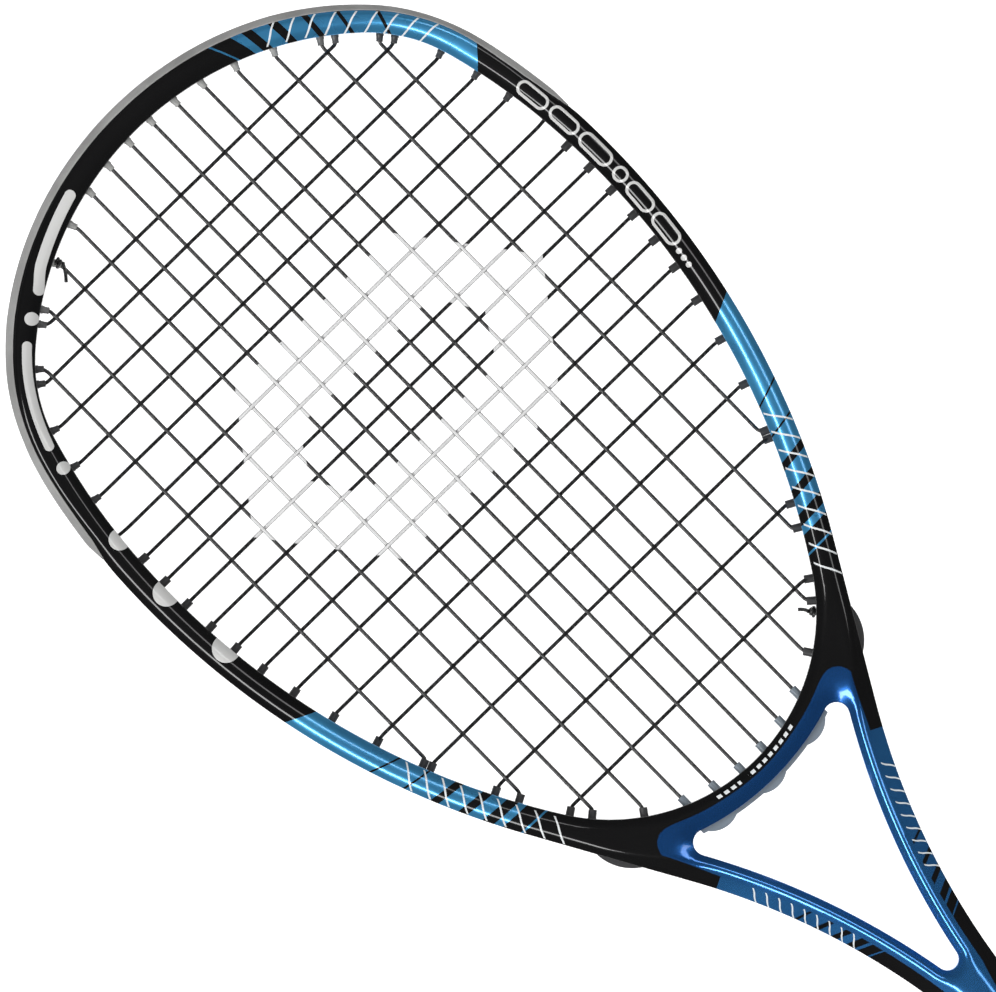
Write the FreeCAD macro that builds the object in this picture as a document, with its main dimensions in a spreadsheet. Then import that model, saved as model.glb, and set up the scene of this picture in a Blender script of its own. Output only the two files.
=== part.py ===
"""Squash racket, built as an assembly of its separate pieces.

Frame: X across the head, Y from the butt end (0) to the tip, Z out of the face.
The string bed lies in the plane Z = 0.  All lengths are millimetres.
"""
import FreeCAD, Part
import math
import os
import Sketcher

V = FreeCAD.Vector
X_AXIS = V(1, 0, 0)
Y_AXIS = V(0, 1, 0)
Z_AXIS = V(0, 0, 1)
THROUGH_ALL = 1    # a pocket's type

# name, value, what it is
SIZES = [
    ("overall_length", 686.0, "butt end to tip"),
    ("beam_depth", 19.0, "frame depth across the face normal"),
    ("tube_wall", 1.5, "laminate thickness of the hollow frame"),
    ("outer_bevel", 3.4, "bevel along the outside of the frame"),
    ("inner_bevel", 2.4, "bevel along the head and throat openings"),
    ("tip_radius", 115.2, "outside of the head, arc at the tip"),
    ("tip_turn", 46.25, "degrees"),
    ("corner_radius", 74.1, "outside of the head, arc at the upper corner"),
    ("corner_turn", 27.5, "degrees"),
    ("cheek_radius", 123.2, "outside of the head, blend into the side"),
    ("cheek_turn", 7.7, "degrees"),
    ("side_radius", 284.7, "outside of the head, long side arc"),
    ("side_turn", 38.3, "degrees"),
    ("arm_radius", 246.9, "hollow curve of the arms into the shaft"),
    ("shaft_width", 18.8, "shaft across the face"),
    ("tip_rim", 10.6, "rim width at the tip, guard included"),
    ("open_tip_radius", 111.4, "head opening, arc at the tip"),
    ("open_tip_turn", 42.1, "degrees"),
    ("open_corner_radius", 53.6, "head opening, arc at the upper corner"),
    ("open_corner_turn", 31.9, "degrees"),
    ("open_cheek_radius", 212.8, "head opening, blend into the side"),
    ("open_cheek_turn", 11.1, "degrees"),
    ("open_side_radius", 262.7, "head opening, long side arc"),
    ("open_side_turn", 37.6, "degrees"),
    ("throat_top", 377.0, "throat opening, height at the middle of the bridge"),
    ("throat_rise", 9.5, "throat opening, its corners above the middle"),
    ("throat_half_width", 40.5, "throat opening, half width at its sharp corners"),
    ("throat_waist_y", 333.6, "height where the throat opening is measured again"),
    ("throat_waist", 14.4, "throat opening, half width there"),
    ("throat_foot_y", 294.1, "height near the foot of the throat opening"),
    ("throat_foot", 3.7, "throat opening, half width there"),
    ("throat_corner", 4.4, "radius of the upper corners of the throat opening"),
    ("groove_width", 6.4, "string groove around the outside of the head"),
    ("groove_depth", 2.4, "string groove around the outside of the head"),
    ("groove_end_y", 376.0, "height where the groove ends on the arms, just below the bridge"),
    ("strip_thickness", 1.0, "grommet strip in the groove"),
    ("guard_end_y", 582.0, "height where the bumper guard ends"),
    ("guard_thickness", 1.4, "bumper guard over the rim"),
    ("guard_cover", 4.3, "how far the guard covers the rim, seen on the face"),
    ("guard_channel", 3.2, "width of the string channel in the guard"),
    ("string_diameter", 1.25, "string"),
    ("barrel_diameter", 2.8, "grommet barrel"),
    ("barrel_bore", 1.7, "bore of a grommet barrel"),
    ("barrel_stand", 2.9, "barrel past the wall into the head opening"),
    ("hole_clearance", 0.1, "drilled hole over the barrel, on the diameter"),
    ("bridge_floor", 0.6, "floor of the grommet strip below the bridge"),
    ("bridge_flange", 1.5, "flanges of that strip beside the string"),
    ("bridge_strip_half", 28.5, "half the length of that strip"),
    ("scallop_spacing", 19.9, "between the deeper parts of its flanges"),
    ("scallop_radius", 9.0, "curve of a deeper part"),
    ("scallop_depth", 3.0, "how far a deeper part reaches below the bridge"),
    ("lug_middle_y", 391.5, "height of the pads over the string at the shoulders"),
    ("lug_length", 16.0, "one of those pads, along the frame"),
    ("lug_stand", 2.0, "how far a pad stands out of the frame"),
    ("frame_end_y", 12.0, "lower end of the shaft, inside the butt cap"),
    ("handle_end_y", 204.0, "upper end of the handle foam"),
    ("grip_end_y", 206.0, "upper end of the grip"),
    ("handle_width", 29.6, "handle foam across the face"),
    ("handle_depth", 25.0, "handle foam across the face normal"),
    ("handle_bevel", 7.0, "corner bevel of the handle foam"),
    ("underlay", 0.6, "cushioning underlay below the grip"),
    ("grip_thickness", 1.7, "wound grip"),
    ("cap_height", 24.0, "butt cap"),
    ("cap_width", 37.0, "butt cap across the face"),
    ("cap_depth", 32.4, "butt cap across the face normal"),
    ("cap_bevel", 9.6, "corner bevel of the flared rim"),
    ("cap_rounding", 2.0, "rounding of the butt cap's lower edge"),
    ("cap_floor", 3.0, "solid bottom of the butt cap"),
    ("cap_rim", 7.0, "height of the flared rim"),
    ("emblem_radius", 10.5, "disc let into the butt cap"),
    ("emblem_thickness", 0.8, "disc let into the butt cap"),
    ("tape_thickness", 0.3, "finishing tape"),
    ("collar_wall", 1.4, "rubber collar"),
    ("tape_length", 14.0, "finishing tape"),
    ("collar_length", 12.0, "rubber collar over the end of the grip"),
]

MAINS_HALF = (5.0, 15.2, 25.6, 36.8, 49.1, 62.3, 76.8)
CROSSES = (650.0, 636.7, 623.2, 610.2, 597.8, 584.0, 573.0, 562.8, 552.5,
           541.7, 531.0, 520.0, 507.3, 492.6, 476.8, 458.6, 438.3, 416.6)

doc = FreeCAD.newDocument("squash_racket")
sheet = doc.addObject("Spreadsheet::Sheet", "Sizes")
for row, (name, value, note) in enumerate(SIZES, start=1):
    sheet.set("A%d" % row, name)
    sheet.set("B%d" % row, str(value))
    sheet.set("C%d" % row, note)
    sheet.setAlias("B%d" % row, name)
doc.recompute()


def size(name):
    """A driving dimension, read back from the sheet."""
    return float(getattr(sheet, name))


PIECES = []


def keep(obj, label):
    """Name an object as one piece of the racket."""
    obj.Label = label
    PIECES.append(obj)
    return obj


def shaped(label, shape):
    """A piece whose shape is worked out in code."""
    obj = doc.addObject("Part::Feature", label)
    obj.Shape = shape
    obj.Placement = FreeCAD.Placement()
    return obj


# ---------------------------------------------------------------- outlines

def arc_chain(start, heading, segments):
    """Tangent arcs as (start, middle, end) points, turning clockwise from a heading in degrees.

    A segment is (radius, turn) with a negative turn for a hollow curve,
    or (None, length) for a straight run.
    """
    chain = []
    point = V(*start)
    angle = math.radians(heading)
    for radius, amount in segments:
        ahead = V(math.cos(angle), math.sin(angle), 0)
        if radius is None:
            end = point + ahead * amount
            chain.append((point, None, end))
            point = end
            continue
        turn = math.radians(amount)
        side = 1.0 if turn > 0 else -1.0
        centre = point + V(ahead.y, -ahead.x, 0) * (radius * side)
        spoke = point - centre
        middle = centre + FreeCAD.Rotation(Z_AXIS, -amount / 2).multVec(spoke)
        end = centre + FreeCAD.Rotation(Z_AXIS, -amount).multVec(spoke)
        chain.append((point, middle, end))
        point = end
        angle -= turn
    return chain


def mirrored(chain):
    """The same chain on the other side, walked back to its start."""
    def flip(p):
        return None if p is None else V(-p.x, p.y, 0)
    return [(flip(end), flip(mid), flip(start)) for start, mid, end in reversed(chain)]


def curve(segment):
    start, middle, end = segment
    if middle is None:
        return Part.LineSegment(start, end)
    return Part.Arc(start, middle, end)


def wire(chain):
    return Part.Wire([curve(segment).toShape() for segment in chain])


def outside_chain():
    """Right half of the frame's outside, from the tip down to the end of the shaft."""
    head = [(size(n + "_radius"), size(n + "_turn")) for n in ("tip", "corner", "cheek", "side")]
    turned = sum(turn for _, turn in head)
    corner = arc_chain((0, size("overall_length"), 0), 0, head)[-1][2]
    flare = turned - 90.0
    half = size("shaft_width") / 2
    hollow = size("arm_radius") * (1 - math.cos(math.radians(flare)))
    straight = (corner.x - hollow - half) / math.sin(math.radians(flare))
    chain = arc_chain((0, size("overall_length"), 0), 0,
                      head + [(None, straight), (size("arm_radius"), -flare)])
    foot = chain[-1][2]
    chain.append((foot, None, V(half, size("frame_end_y"), 0)))
    return chain


def head_opening_chain():
    """Right half of the head opening, from the tip down to the middle of the bridge."""
    names = ("open_tip", "open_corner", "open_cheek", "open_side")
    arcs = [(size(n + "_radius"), size(n + "_turn")) for n in names]
    start = (0, size("overall_length") - size("tip_rim"), 0)
    corner = arc_chain(start, 0, arcs)[-1][2]
    turned = sum(turn for _, turn in arcs)
    bridge_radius = corner.x / math.sin(math.radians(turned))
    return arc_chain(start, 0, arcs + [(bridge_radius, 180.0 - turned)])


def circle_through(a, b, c):
    circle = Part.Circle(a, b, c)
    return circle.Center, circle.Radius


def meeting_point(centre_a, radius_a, centre_b, radius_b, near):
    """Where two circles in the plane Z = 0 cross, on the side of a given point."""
    gap = centre_b - centre_a
    along = (radius_a ** 2 - radius_b ** 2 + gap.Length ** 2) / (2 * gap.Length)
    aside = math.sqrt(radius_a ** 2 - along ** 2)
    unit = V(gap.x, gap.y, 0).normalize()
    normal = V(-unit.y, unit.x, 0)
    middle = centre_a + unit * along
    return min((middle + normal * aside, middle - normal * aside), key=lambda p: (p - near).Length)


def throat_chain():
    """Right half of the throat opening: bridge, rounded corner, hollow side and crotch."""
    radius = size("throat_corner")
    middle = V(0, size("throat_top"), 0)
    corner = V(size("throat_half_width"), middle.y + size("throat_rise"), 0)
    waist = V(size("throat_waist"), size("throat_waist_y"), 0)
    foot = V(size("throat_foot"), size("throat_foot_y"), 0)
    over, over_radius = circle_through(V(-corner.x, corner.y, 0), middle, corner)
    beside, beside_radius = circle_through(corner, waist, foot)
    round_centre = meeting_point(over, over_radius + radius, beside, beside_radius + radius, corner)

    def touch(centre, big):
        return centre + (round_centre - centre) * (big / (big + radius))

    def on_circle(centre, start, end):
        spoke = ((start + end) * 0.5 - centre).normalize()
        return centre + spoke * (start - centre).Length

    upper = touch(over, over_radius)
    lower = touch(beside, beside_radius)
    away = (foot - beside).normalize()
    crotch_radius = -foot.x / away.x
    crotch_centre = foot + away * crotch_radius
    crotch = crotch_centre - Y_AXIS * crotch_radius
    return [(middle, on_circle(over, middle, upper), upper),
            (upper, on_circle(round_centre, upper, lower), lower),
            (lower, on_circle(beside, lower, foot), foot),
            (foot, on_circle(crotch_centre, foot, crotch), crotch)]


outside = outside_chain()
end_line = [(outside[-1][2], None, V(-outside[-1][2].x, outside[-1][2].y, 0))]
OUTSIDE_CHAIN = outside + end_line + mirrored(outside)
OPENING_HALF = head_opening_chain()
OPENING_CHAIN = OPENING_HALF + mirrored(OPENING_HALF)
OUTSIDE = wire(OUTSIDE_CHAIN)
OPENING = wire(OPENING_CHAIN)
THROAT_HALF = throat_chain()
THROAT_CHAIN = THROAT_HALF + mirrored(THROAT_HALF)
THROAT = wire(THROAT_CHAIN)


# ------------------------------------------------------- moulded frame blank

DEPTH = size("beam_depth")
HALF_DEPTH = DEPTH / 2
LENGTH = size("overall_length")


def origin_plane(body, role):
    return next(p for p in body.Origin.OriginFeatures if p.Role == role)


def sketch_on(body, name, role, lift=0.0):
    sketch = body.newObject("Sketcher::SketchObject", name)
    sketch.AttachmentSupport = [(origin_plane(body, role), "")]
    sketch.MapMode = "FlatFace"
    sketch.AttachmentOffset = FreeCAD.Placement(V(0, 0, lift), FreeCAD.Rotation())
    return sketch


def add_loop(sketch, curves):
    """A closed loop of curves, each held where the outline's dimensions put it."""
    for geometry in curves:
        number = sketch.addGeometry(geometry, False)
        sketch.addConstraint(Sketcher.Constraint("Block", number))


def pad(body, sketch, name, length, symmetric=False, reverse=False):
    feature = body.newObject("PartDesign::Pad", name)
    feature.Profile = sketch
    feature.setExpression("Length", length)
    feature.Midplane = symmetric
    feature.Reversed = reverse
    return feature


def on_wire(edge, path):
    middle = edge.valueAt((edge.FirstParameter + edge.LastParameter) / 2)
    return path.distToShape(Part.Vertex(V(middle.x, middle.y, 0)))[0] < 0.01


def rim_edges(shape, path):
    """Edges of both faces of a plate that follow a path in the plane Z = 0."""
    names = []
    for number, edge in enumerate(shape.Edges, start=1):
        flat = abs(edge.BoundBox.ZMax - edge.BoundBox.ZMin) < 0.01
        if flat and on_wire(edge, path):
            names.append("Edge%d" % number)
    return names


def chamfer(body, base, edges, name, amount):
    feature = body.newObject("PartDesign::Chamfer", name)
    feature.Base = (base, edges)
    feature.setExpression("Size", amount)
    return feature


def pocket(body, name, curves):
    """A cut straight through the body along a closed loop in the plane Z = 0."""
    sketch = sketch_on(body, name + "_sketch", "XY_Plane")
    add_loop(sketch, curves)
    feature = body.newObject("PartDesign::Pocket", name)
    feature.Profile = sketch
    feature.Type = THROUGH_ALL
    feature.Midplane = True
    doc.recompute()
    return feature


def make_blank():
    """The outside shape of the whole moulding: rim, bridge, arms and shaft."""
    body = doc.addObject("PartDesign::Body", "frame_blank")
    outline = sketch_on(body, "outline", "XY_Plane")
    add_loop(outline, [curve(segment) for segment in OUTSIDE_CHAIN])
    pad(body, outline, "plate", "Sizes.beam_depth", symmetric=True)
    doc.recompute()
    pocket(body, "head_opening", [curve(segment) for segment in OPENING_CHAIN])
    cut = pocket(body, "throat_opening", [curve(segment) for segment in THROAT_CHAIN])
    outer = chamfer(body, cut, rim_edges(cut.Shape, OUTSIDE), "outer_bevels", "Sizes.outer_bevel")
    doc.recompute()
    rims = rim_edges(outer.Shape, OPENING) + rim_edges(outer.Shape, THROAT)
    chamfer(body, outer, rims, "inner_bevels", "Sizes.inner_bevel")
    doc.recompute()
    return body


def plate_between(outer, inners, half_depth):
    """A plain plate inside one closed wire and outside others."""
    face = Part.makeFace([outer] + inners, "Part::FaceMakerBullseye")
    face.translate(V(0, 0, -half_depth))
    return face.extrude(V(0, 0, 2 * half_depth))


def bevelled_plate(outer, inners, half_depth, outer_bevel, inner_bevel):
    """A plate between closed wires, with the blank's kind of bevels."""
    solid = plate_between(outer, inners, half_depth)
    for paths, amount in (([outer], outer_bevel), (inners, inner_bevel)):
        edges = []
        for edge in solid.Edges:
            flat = abs(edge.BoundBox.ZMax - edge.BoundBox.ZMin) < 0.01
            if flat and any(on_wire(edge, path) for path in paths):
                edges.append(edge)
        if edges:
            solid = solid.makeChamfer(amount, edges)
    return solid


def inset(path, distance):
    """The same closed wire, this far to its inside (or outside, when negative)."""
    return path.makeOffset2D(-distance)


def prism(path, half_depth):
    face = Part.Face(path)
    face.translate(V(0, 0, -half_depth))
    return face.extrude(V(0, 0, 2 * half_depth))


def band(depth_from, depth_to, half_depth):
    """A band that follows the outside of the frame between two depths below it."""
    outer = OUTSIDE if depth_from == 0 else inset(OUTSIDE, depth_from)
    return prism(outer, half_depth).cut(prism(inset(OUTSIDE, depth_to), half_depth))


def slab(y_low, y_high, reach=200.0):
    """Everything between two heights."""
    return Part.makeBox(2 * reach, y_high - y_low, 2 * reach, V(-reach, y_low, -reach))


def rod(start, end, radius):
    """A round rod between two points."""
    run = end - start
    return Part.makeCylinder(radius, run.Length, start, run)


# ------------------------------------------------------------ string layout

STRING_R = size("string_diameter") / 2
STRING_GAP = 0.03                 # between a string and what it lies on
LAYER = STRING_R + 0.02           # the mains lie this far above the mid plane, the crosses below
LOOP_DEPTH = size("groove_depth") - size("strip_thickness") - STRING_R - STRING_GAP
STRAIGHT_HOLE = 30.0              # mains nearer the middle than this pass straight through
MOUTHS = inset(OPENING, size("barrel_stand"))
LOOP_LINE = inset(OUTSIDE, LOOP_DEPTH)
BRIDGE_LOOP = size("bridge_floor") + STRING_R + STRING_GAP    # string centre below the bridge
TOUCH = 1e-4
HOLE_REACH = 60.0                 # longer than any string hole


def hits(path, start, end):
    """Points where a straight line meets a wire."""
    line = Part.makeLine(start, end)
    distance, pairs, _ = path.distToShape(line)
    if distance > TOUCH:
        raise ValueError("line misses the outline")
    return [pair[0] for pair in pairs]


def nearest(path, point):
    return path.distToShape(Part.Vertex(point))[1][0][0]


def string_end(point, run):
    """Where a string enters the rim and leaves it.

    The inner mouth of its grommet, and the point where it lies in the string groove.
    """
    wall = nearest(OPENING, point)
    ahead = (wall - point).normalize()
    straight = run.y != 0 and abs(point.x) < STRAIGHT_HOLE
    if straight:
        ahead = run
    if straight and run.y < 0:
        edge = max(hits(THROAT, point, point + ahead * HOLE_REACH / 2), key=lambda p: p.y)
        leave = edge + ahead * BRIDGE_LOOP
    else:
        leave = min(hits(LOOP_LINE, point, point + ahead * HOLE_REACH),
                    key=lambda p: (p - point).Length)
    return point, leave


def main_ends(x):
    """Upper and lower ends of the lengthwise string at x."""
    points = hits(MOUTHS, V(x, 0, 0), V(x, LENGTH + 10, 0))
    top = max(points, key=lambda p: p.y)
    bottom = min(points, key=lambda p: p.y)
    return string_end(top, Y_AXIS), string_end(bottom, -Y_AXIS)


def cross_ends(y):
    """Left and right ends of the crosswise string at y."""
    points = hits(MOUTHS, V(-LENGTH, y, 0), V(LENGTH, y, 0))
    left = min(points, key=lambda p: p.x)
    right = max(points, key=lambda p: p.x)
    return string_end(left, -X_AXIS), string_end(right, X_AXIS)


MAINS = [main_ends(x) for x in sorted([-x for x in MAINS_HALF] + list(MAINS_HALF))]
CROSS_RUNS = [cross_ends(y) for y in CROSSES]


def weave_path(runs, first_end):
    """One continuous path through all the runs, turning in the string groove."""
    path = []
    end = first_end
    for number, run in enumerate(runs):
        near, far = run[end], run[1 - end]
        if number:
            bend = (path[-1] + near[1]) * 0.5
            below_bridge = bend.y < size("throat_top") + size("throat_rise") - 1
            path.append(bend if below_bridge else nearest(LOOP_LINE, bend))
        path += [near[1], near[0], far[0], far[1]]
        end = 1 - end
    return path


def string_shape(path, height):
    """A round string along straight runs, its bends mitred."""
    points = [p + V(0, 0, height) for p in path]
    spine = Part.makePolygon(points)
    start = points[0]
    ring = Part.Wire(Part.makeCircle(STRING_R, start, points[1] - start))
    return spine.makePipeShell([ring], True, True, 1)


def barrels(ends, height, radius, before, after):
    """Round rods along the holes of a set of string ends."""
    rods = []
    for mouth, leave in ends:
        ahead = (leave - mouth).normalize()
        low = mouth - ahead * before + V(0, 0, height)
        high = leave + ahead * after + V(0, 0, height)
        rods.append(rod(low, high, radius))
    return rods


TOP_ENDS = [main[0] for main in MAINS]
LOW_ENDS = [main[1] for main in MAINS]
SIDE_ENDS = [end for run in CROSS_RUNS for end in run]
HOLES = ([(end, LAYER) for end in TOP_ENDS + LOW_ENDS] + [(end, -LAYER) for end in SIDE_ENDS])


def all_rods(radius, before, after, choose=lambda mouth, leave: True):
    rods = []
    for (mouth, leave), height in HOLES:
        if choose(mouth, leave):
            rods += barrels([(mouth, leave)], height, radius, before, after)
    return rods


# ------------------------------------------------------------- frame pieces

WALL = size("tube_wall")
GUARD_END = size("guard_end_y")
GROOVE_END = size("groove_end_y")
GROOVE_HALF = size("groove_width") / 2
STRIP_HALF = GROOVE_HALF - 0.1
STRIP_GAP = 0.2                   # between a grommet strip's end and what is next to it
LOOP_SINK_OVER = 0.5
STRIP_OUT = size("groove_depth") - size("strip_thickness")
CHANNEL_HALF = size("guard_channel") / 2
HOLE_R = (size("barrel_diameter") + size("hole_clearance")) / 2
BARREL_R = size("barrel_diameter") / 2
BORE_R = size("barrel_bore") / 2
PAST = 12.0                       # a cutting rod runs this far past what it cuts
LOOP_SINK = STRIP_OUT - LOOP_DEPTH + LOOP_SINK_OVER    # a barrel starts this far below the string loop
BEVEL_STEP = 0.6 * WALL           # the inner layer's step, which keeps a wall under each bevel


def hollow():
    """The space inside the moulding: one wall's thickness in from every face."""
    def core(depth):
        """Two stepped layers that stay one wall's thickness below the bevels."""
        layers = []
        for outer_in, opening_in, half in (
                (depth, WALL, HALF_DEPTH - size("outer_bevel")),
                (depth + size("outer_bevel") - BEVEL_STEP, size("inner_bevel"), HALF_DEPTH - WALL)):
            openings = [inset(OPENING, -opening_in), inset(THROAT, -opening_in)]
            layers.append(plate_between(inset(OUTSIDE, outer_in), openings, half))
        return layers[0].fuse(layers[1])

    under_guard = core(WALL + size("guard_thickness")).common(slab(GUARD_END - WALL, LENGTH + 10))
    space = core(WALL).common(slab(-10, GUARD_END - WALL)).fuse(under_guard)
    groove = band(0, size("groove_depth") + WALL, GROOVE_HALF + WALL)
    groove = groove.common(slab(GROOVE_END - WALL, LENGTH + 10))
    crotch = THROAT_HALF[-1][2].y
    web = Part.makeBox(WALL, crotch, DEPTH, V(-WALL / 2, 0, -HALF_DEPTH))
    return space.cut([groove, web])


def bridge_column(margin):
    """The wedge between the two arms that the bridge fills, grown by a margin each way."""
    joint = OPENING_HALF[3][2]
    lower = THROAT_HALF[1][2]
    along = (lower - joint).normalize()
    out = V(-along.y, along.x, 0) * margin
    if out.x < 0 < margin or out.x > 0 > margin:
        out = -out
    high = joint + out
    low = lower + out
    corners = [high, low, V(-low.x, low.y, 0), V(-high.x, high.y, 0), high]
    return prism(Part.makePolygon(corners), HALF_DEPTH + 1)


def upper_rim():
    """The head above the guard's ends, recessed by the guard's thickness."""
    recessed = bevelled_plate(inset(OUTSIDE, size("guard_thickness")), [OPENING], HALF_DEPTH,
                              size("outer_bevel"), size("inner_bevel"))
    return recessed.common(slab(GUARD_END, LENGTH + 10))


def guard_skin():
    """Bumper guard over the rim: a bevelled C around the tip of the head."""
    bevels = (size("outer_bevel"), size("inner_bevel"))
    full = bevelled_plate(OUTSIDE, [], HALF_DEPTH, *bevels)
    under = bevelled_plate(inset(OUTSIDE, size("guard_thickness")), [], HALF_DEPTH, *bevels)
    inner = prism(inset(OUTSIDE, size("guard_cover")), HALF_DEPTH + 1)
    above = slab(GUARD_END, LENGTH + 10)
    return full.common(above).cut(under).cut(inner)


def groove_fill(y_low, y_high, clearance=0.0):
    strip = band(STRIP_OUT, size("groove_depth") - clearance, STRIP_HALF)
    return strip.common(slab(y_low, y_high))


def with_barrels(piece, choose):
    """Fuse grommet barrels to a strip and open their bores."""
    sleeves = all_rods(BARREL_R, 0.0, -LOOP_SINK, choose)
    bores = all_rods(BORE_R, PAST, PAST, choose)
    return piece.fuse(sleeves).cut(bores)


def by_guard(mouth, leave):
    return leave.y > GUARD_END


def by_bridge(mouth, leave):
    return abs(mouth.x) < STRAIGHT_HOLE and mouth.y < CROSSES[-1]


def by_left(mouth, leave):
    return leave.x < 0 and not by_guard(mouth, leave) and not by_bridge(mouth, leave)


def by_right(mouth, leave):
    return leave.x > 0 and not by_guard(mouth, leave) and not by_bridge(mouth, leave)


def shoulder_lug(side):
    """Rounded pad over the string loop at the shoulder, standing out of the groove."""
    height, half_length, stand = size("lug_middle_y"), size("lug_length") / 2, size("lug_stand")
    middle = nearest(OUTSIDE, V(side * OPENING_HALF[3][2].x, height, 0))
    inward = (nearest(LOOP_LINE, middle) - middle).normalize()
    radius = (half_length ** 2 + stand ** 2) / (2 * stand)
    centre = middle + inward * (radius - stand)
    lens = Part.makeCylinder(radius, 2 * STRIP_HALF, centre - Z_AXIS * STRIP_HALF)
    body = lens.cut(prism(inset(OUTSIDE, STRIP_OUT), HALF_DEPTH))
    channel = slab(0, LENGTH).common(Part.makeBox(LENGTH, LENGTH, 2 * CHANNEL_HALF,
                                                  V(-LENGTH / 2, 0, -CHANNEL_HALF)))
    return body.common(slab(height - half_length, height + half_length)).cut(channel)


def bridge_strip():
    """Grommet strip below the bridge: a thin floor with scalloped flanges beside the strings."""
    top, across = size("throat_top"), size("bridge_strip_half")
    flanges = prism(THROAT, STRIP_HALF).cut(prism(inset(THROAT, size("bridge_flange")), HALF_DEPTH))
    low = top - size("scallop_depth") - 0.1
    limits = Part.makeBox(2 * across, top + size("throat_rise") - low, DEPTH, V(-across, low, -HALF_DEPTH))
    strip = flanges.common(limits)
    scallops = []
    for x in (0.0, size("scallop_spacing"), -size("scallop_spacing")):
        edge = hits(THROAT, V(x, top - HOLE_REACH / 3, 0), V(x, top + HOLE_REACH / 3, 0))[0]
        rise = size("scallop_radius") - size("scallop_depth")
        scallops.append(Part.makeCylinder(size("scallop_radius"), 2 * STRIP_HALF,
                                          V(x, edge.y + rise, -STRIP_HALF)))
    below = scallops[0].fuse(scallops[1:]).common(prism(THROAT, STRIP_HALF))
    channel = prism(inset(THROAT, size("bridge_floor")), CHANNEL_HALF)
    return strip.fuse(below).cut(channel)


def make_frame(blank_shape):
    """The hollow, grooved and drilled moulding, parted into the tube and its bridge."""
    solid = blank_shape.common(slab(-10, GUARD_END)).fuse(upper_rim())
    groove = band(0, size("groove_depth"), GROOVE_HALF).common(slab(GROOVE_END, LENGTH + 10))
    joint_walls = bridge_column(WALL).cut(bridge_column(-WALL))
    solid = solid.cut(groove).cut(hollow().cut(joint_walls))
    solid = solid.cut(all_rods(HOLE_R, PAST, PAST))
    column = bridge_column(0)
    return solid.cut(column), solid.common(column)


def make_guard():
    channel = band(-1, STRIP_OUT, CHANNEL_HALF)
    guard = guard_skin().fuse(groove_fill(GUARD_END, LENGTH + 10)).cut(channel)
    return with_barrels(guard, by_guard)


def make_side_strip(side, choose):
    half = Part.makeBox(LENGTH, LENGTH, DEPTH, V(0 if side > 0 else -LENGTH, 0, -HALF_DEPTH))
    strip = groove_fill(GROOVE_END + STRIP_GAP, GUARD_END - STRIP_GAP).common(half)
    return with_barrels(strip.fuse(shoulder_lug(side)), choose)


blank = make_blank()
tube, bridge = make_frame(blank.Shape)
keep(shaped("frame_tube", tube), "frame_tube")
keep(shaped("throat_bridge", bridge), "throat_bridge")
keep(shaped("bumper_guard", make_guard()), "bumper_guard")
keep(shaped("grommet_strip_left", make_side_strip(-1, by_left)), "grommet_strip_left")
keep(shaped("grommet_strip_right", make_side_strip(1, by_right)), "grommet_strip_right")
keep(shaped("grommet_strip_bridge", with_barrels(bridge_strip(), by_bridge)), "grommet_strip_bridge")
keep(shaped("main_string", string_shape(weave_path(MAINS, 0), LAYER)), "main_string")
keep(shaped("cross_string", string_shape(weave_path(CROSS_RUNS, 0), -LAYER)), "cross_string")


# ------------------------------------------------------------------- handle

def octagon_points(width, depth, bevel):
    """Corners of a bevelled rectangle round the shaft's axis, in the sketch's own X and Y."""
    a, b = width / 2, depth / 2
    quarter = [(a, b - bevel), (a - bevel, b)]
    half = quarter + [(-x, y) for x, y in reversed(quarter)]
    return half + [(x, -y) for x, y in reversed(half)]


def octagon_prism(body, name, y_low, length, section, cut=False):
    """Pad or pocket of a bevelled rectangle, square to the shaft, from y_low towards the tip.

    The length is an expression on the sheet, and the section is (width, depth, bevel).
    """
    sketch = sketch_on(body, name + "_section", "XZ_Plane", lift=-y_low)
    corners = [V(x, y, 0) for x, y in octagon_points(*section)]
    add_loop(sketch, [Part.LineSegment(corners[i], corners[(i + 1) % len(corners)])
                      for i in range(len(corners))])
    if not cut:
        feature = pad(body, sketch, name, length, reverse=True)
        doc.recompute()
        return feature
    before = body.Shape.Volume
    feature = body.newObject("PartDesign::Pocket", name)
    feature.Profile = sketch
    feature.setExpression("Length", length)
    doc.recompute()
    if body.Shape.Volume >= before:
        feature.Reversed = True
        doc.recompute()
    return feature


HANDLE = (size("handle_width"), size("handle_depth"), size("handle_bevel"))
SHAFT = (size("shaft_width"), DEPTH, size("outer_bevel"))
CAP_FLOOR = size("cap_floor")
CAP_RIM = size("cap_rim")
UNDERLAY = size("underlay")
GRIP = size("grip_thickness")
GRIP_END = size("grip_end_y")
TAPE = size("tape_thickness")
EMBLEM_R = size("emblem_radius")
BEVEL_GROWTH = 0.586              # a bevel grows by this share of its faces' move: 2 - sqrt(2)
EMBLEM_GAP = 0.05
NAIL_Y = 16.0
NAIL_Z = 4.0
NAIL_LENGTH = 5.0
NAIL_R = 0.6
NAIL_HEAD_R = 1.4
NAIL_HEAD = 0.4
STAPLE_Y = 13.0
STAPLE_HALF = 4.0
STAPLE_WIRE = 0.5
STAPLE_LEG = 3.5


def grown(section, amount):
    """The same bevelled rectangle with every face moved out by an amount."""
    width, depth, bevel = section
    return width + 2 * amount, depth + 2 * amount, bevel + BEVEL_GROWTH * amount


def sleeve(label, y_low, length, inner, outer):
    """A tube of bevelled rectangles round the shaft's axis."""
    body = doc.addObject("PartDesign::Body", label)
    octagon_prism(body, label + "_outside", y_low, length, outer)
    octagon_prism(body, label + "_inside", y_low, length, inner, cut=True)
    return body


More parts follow.
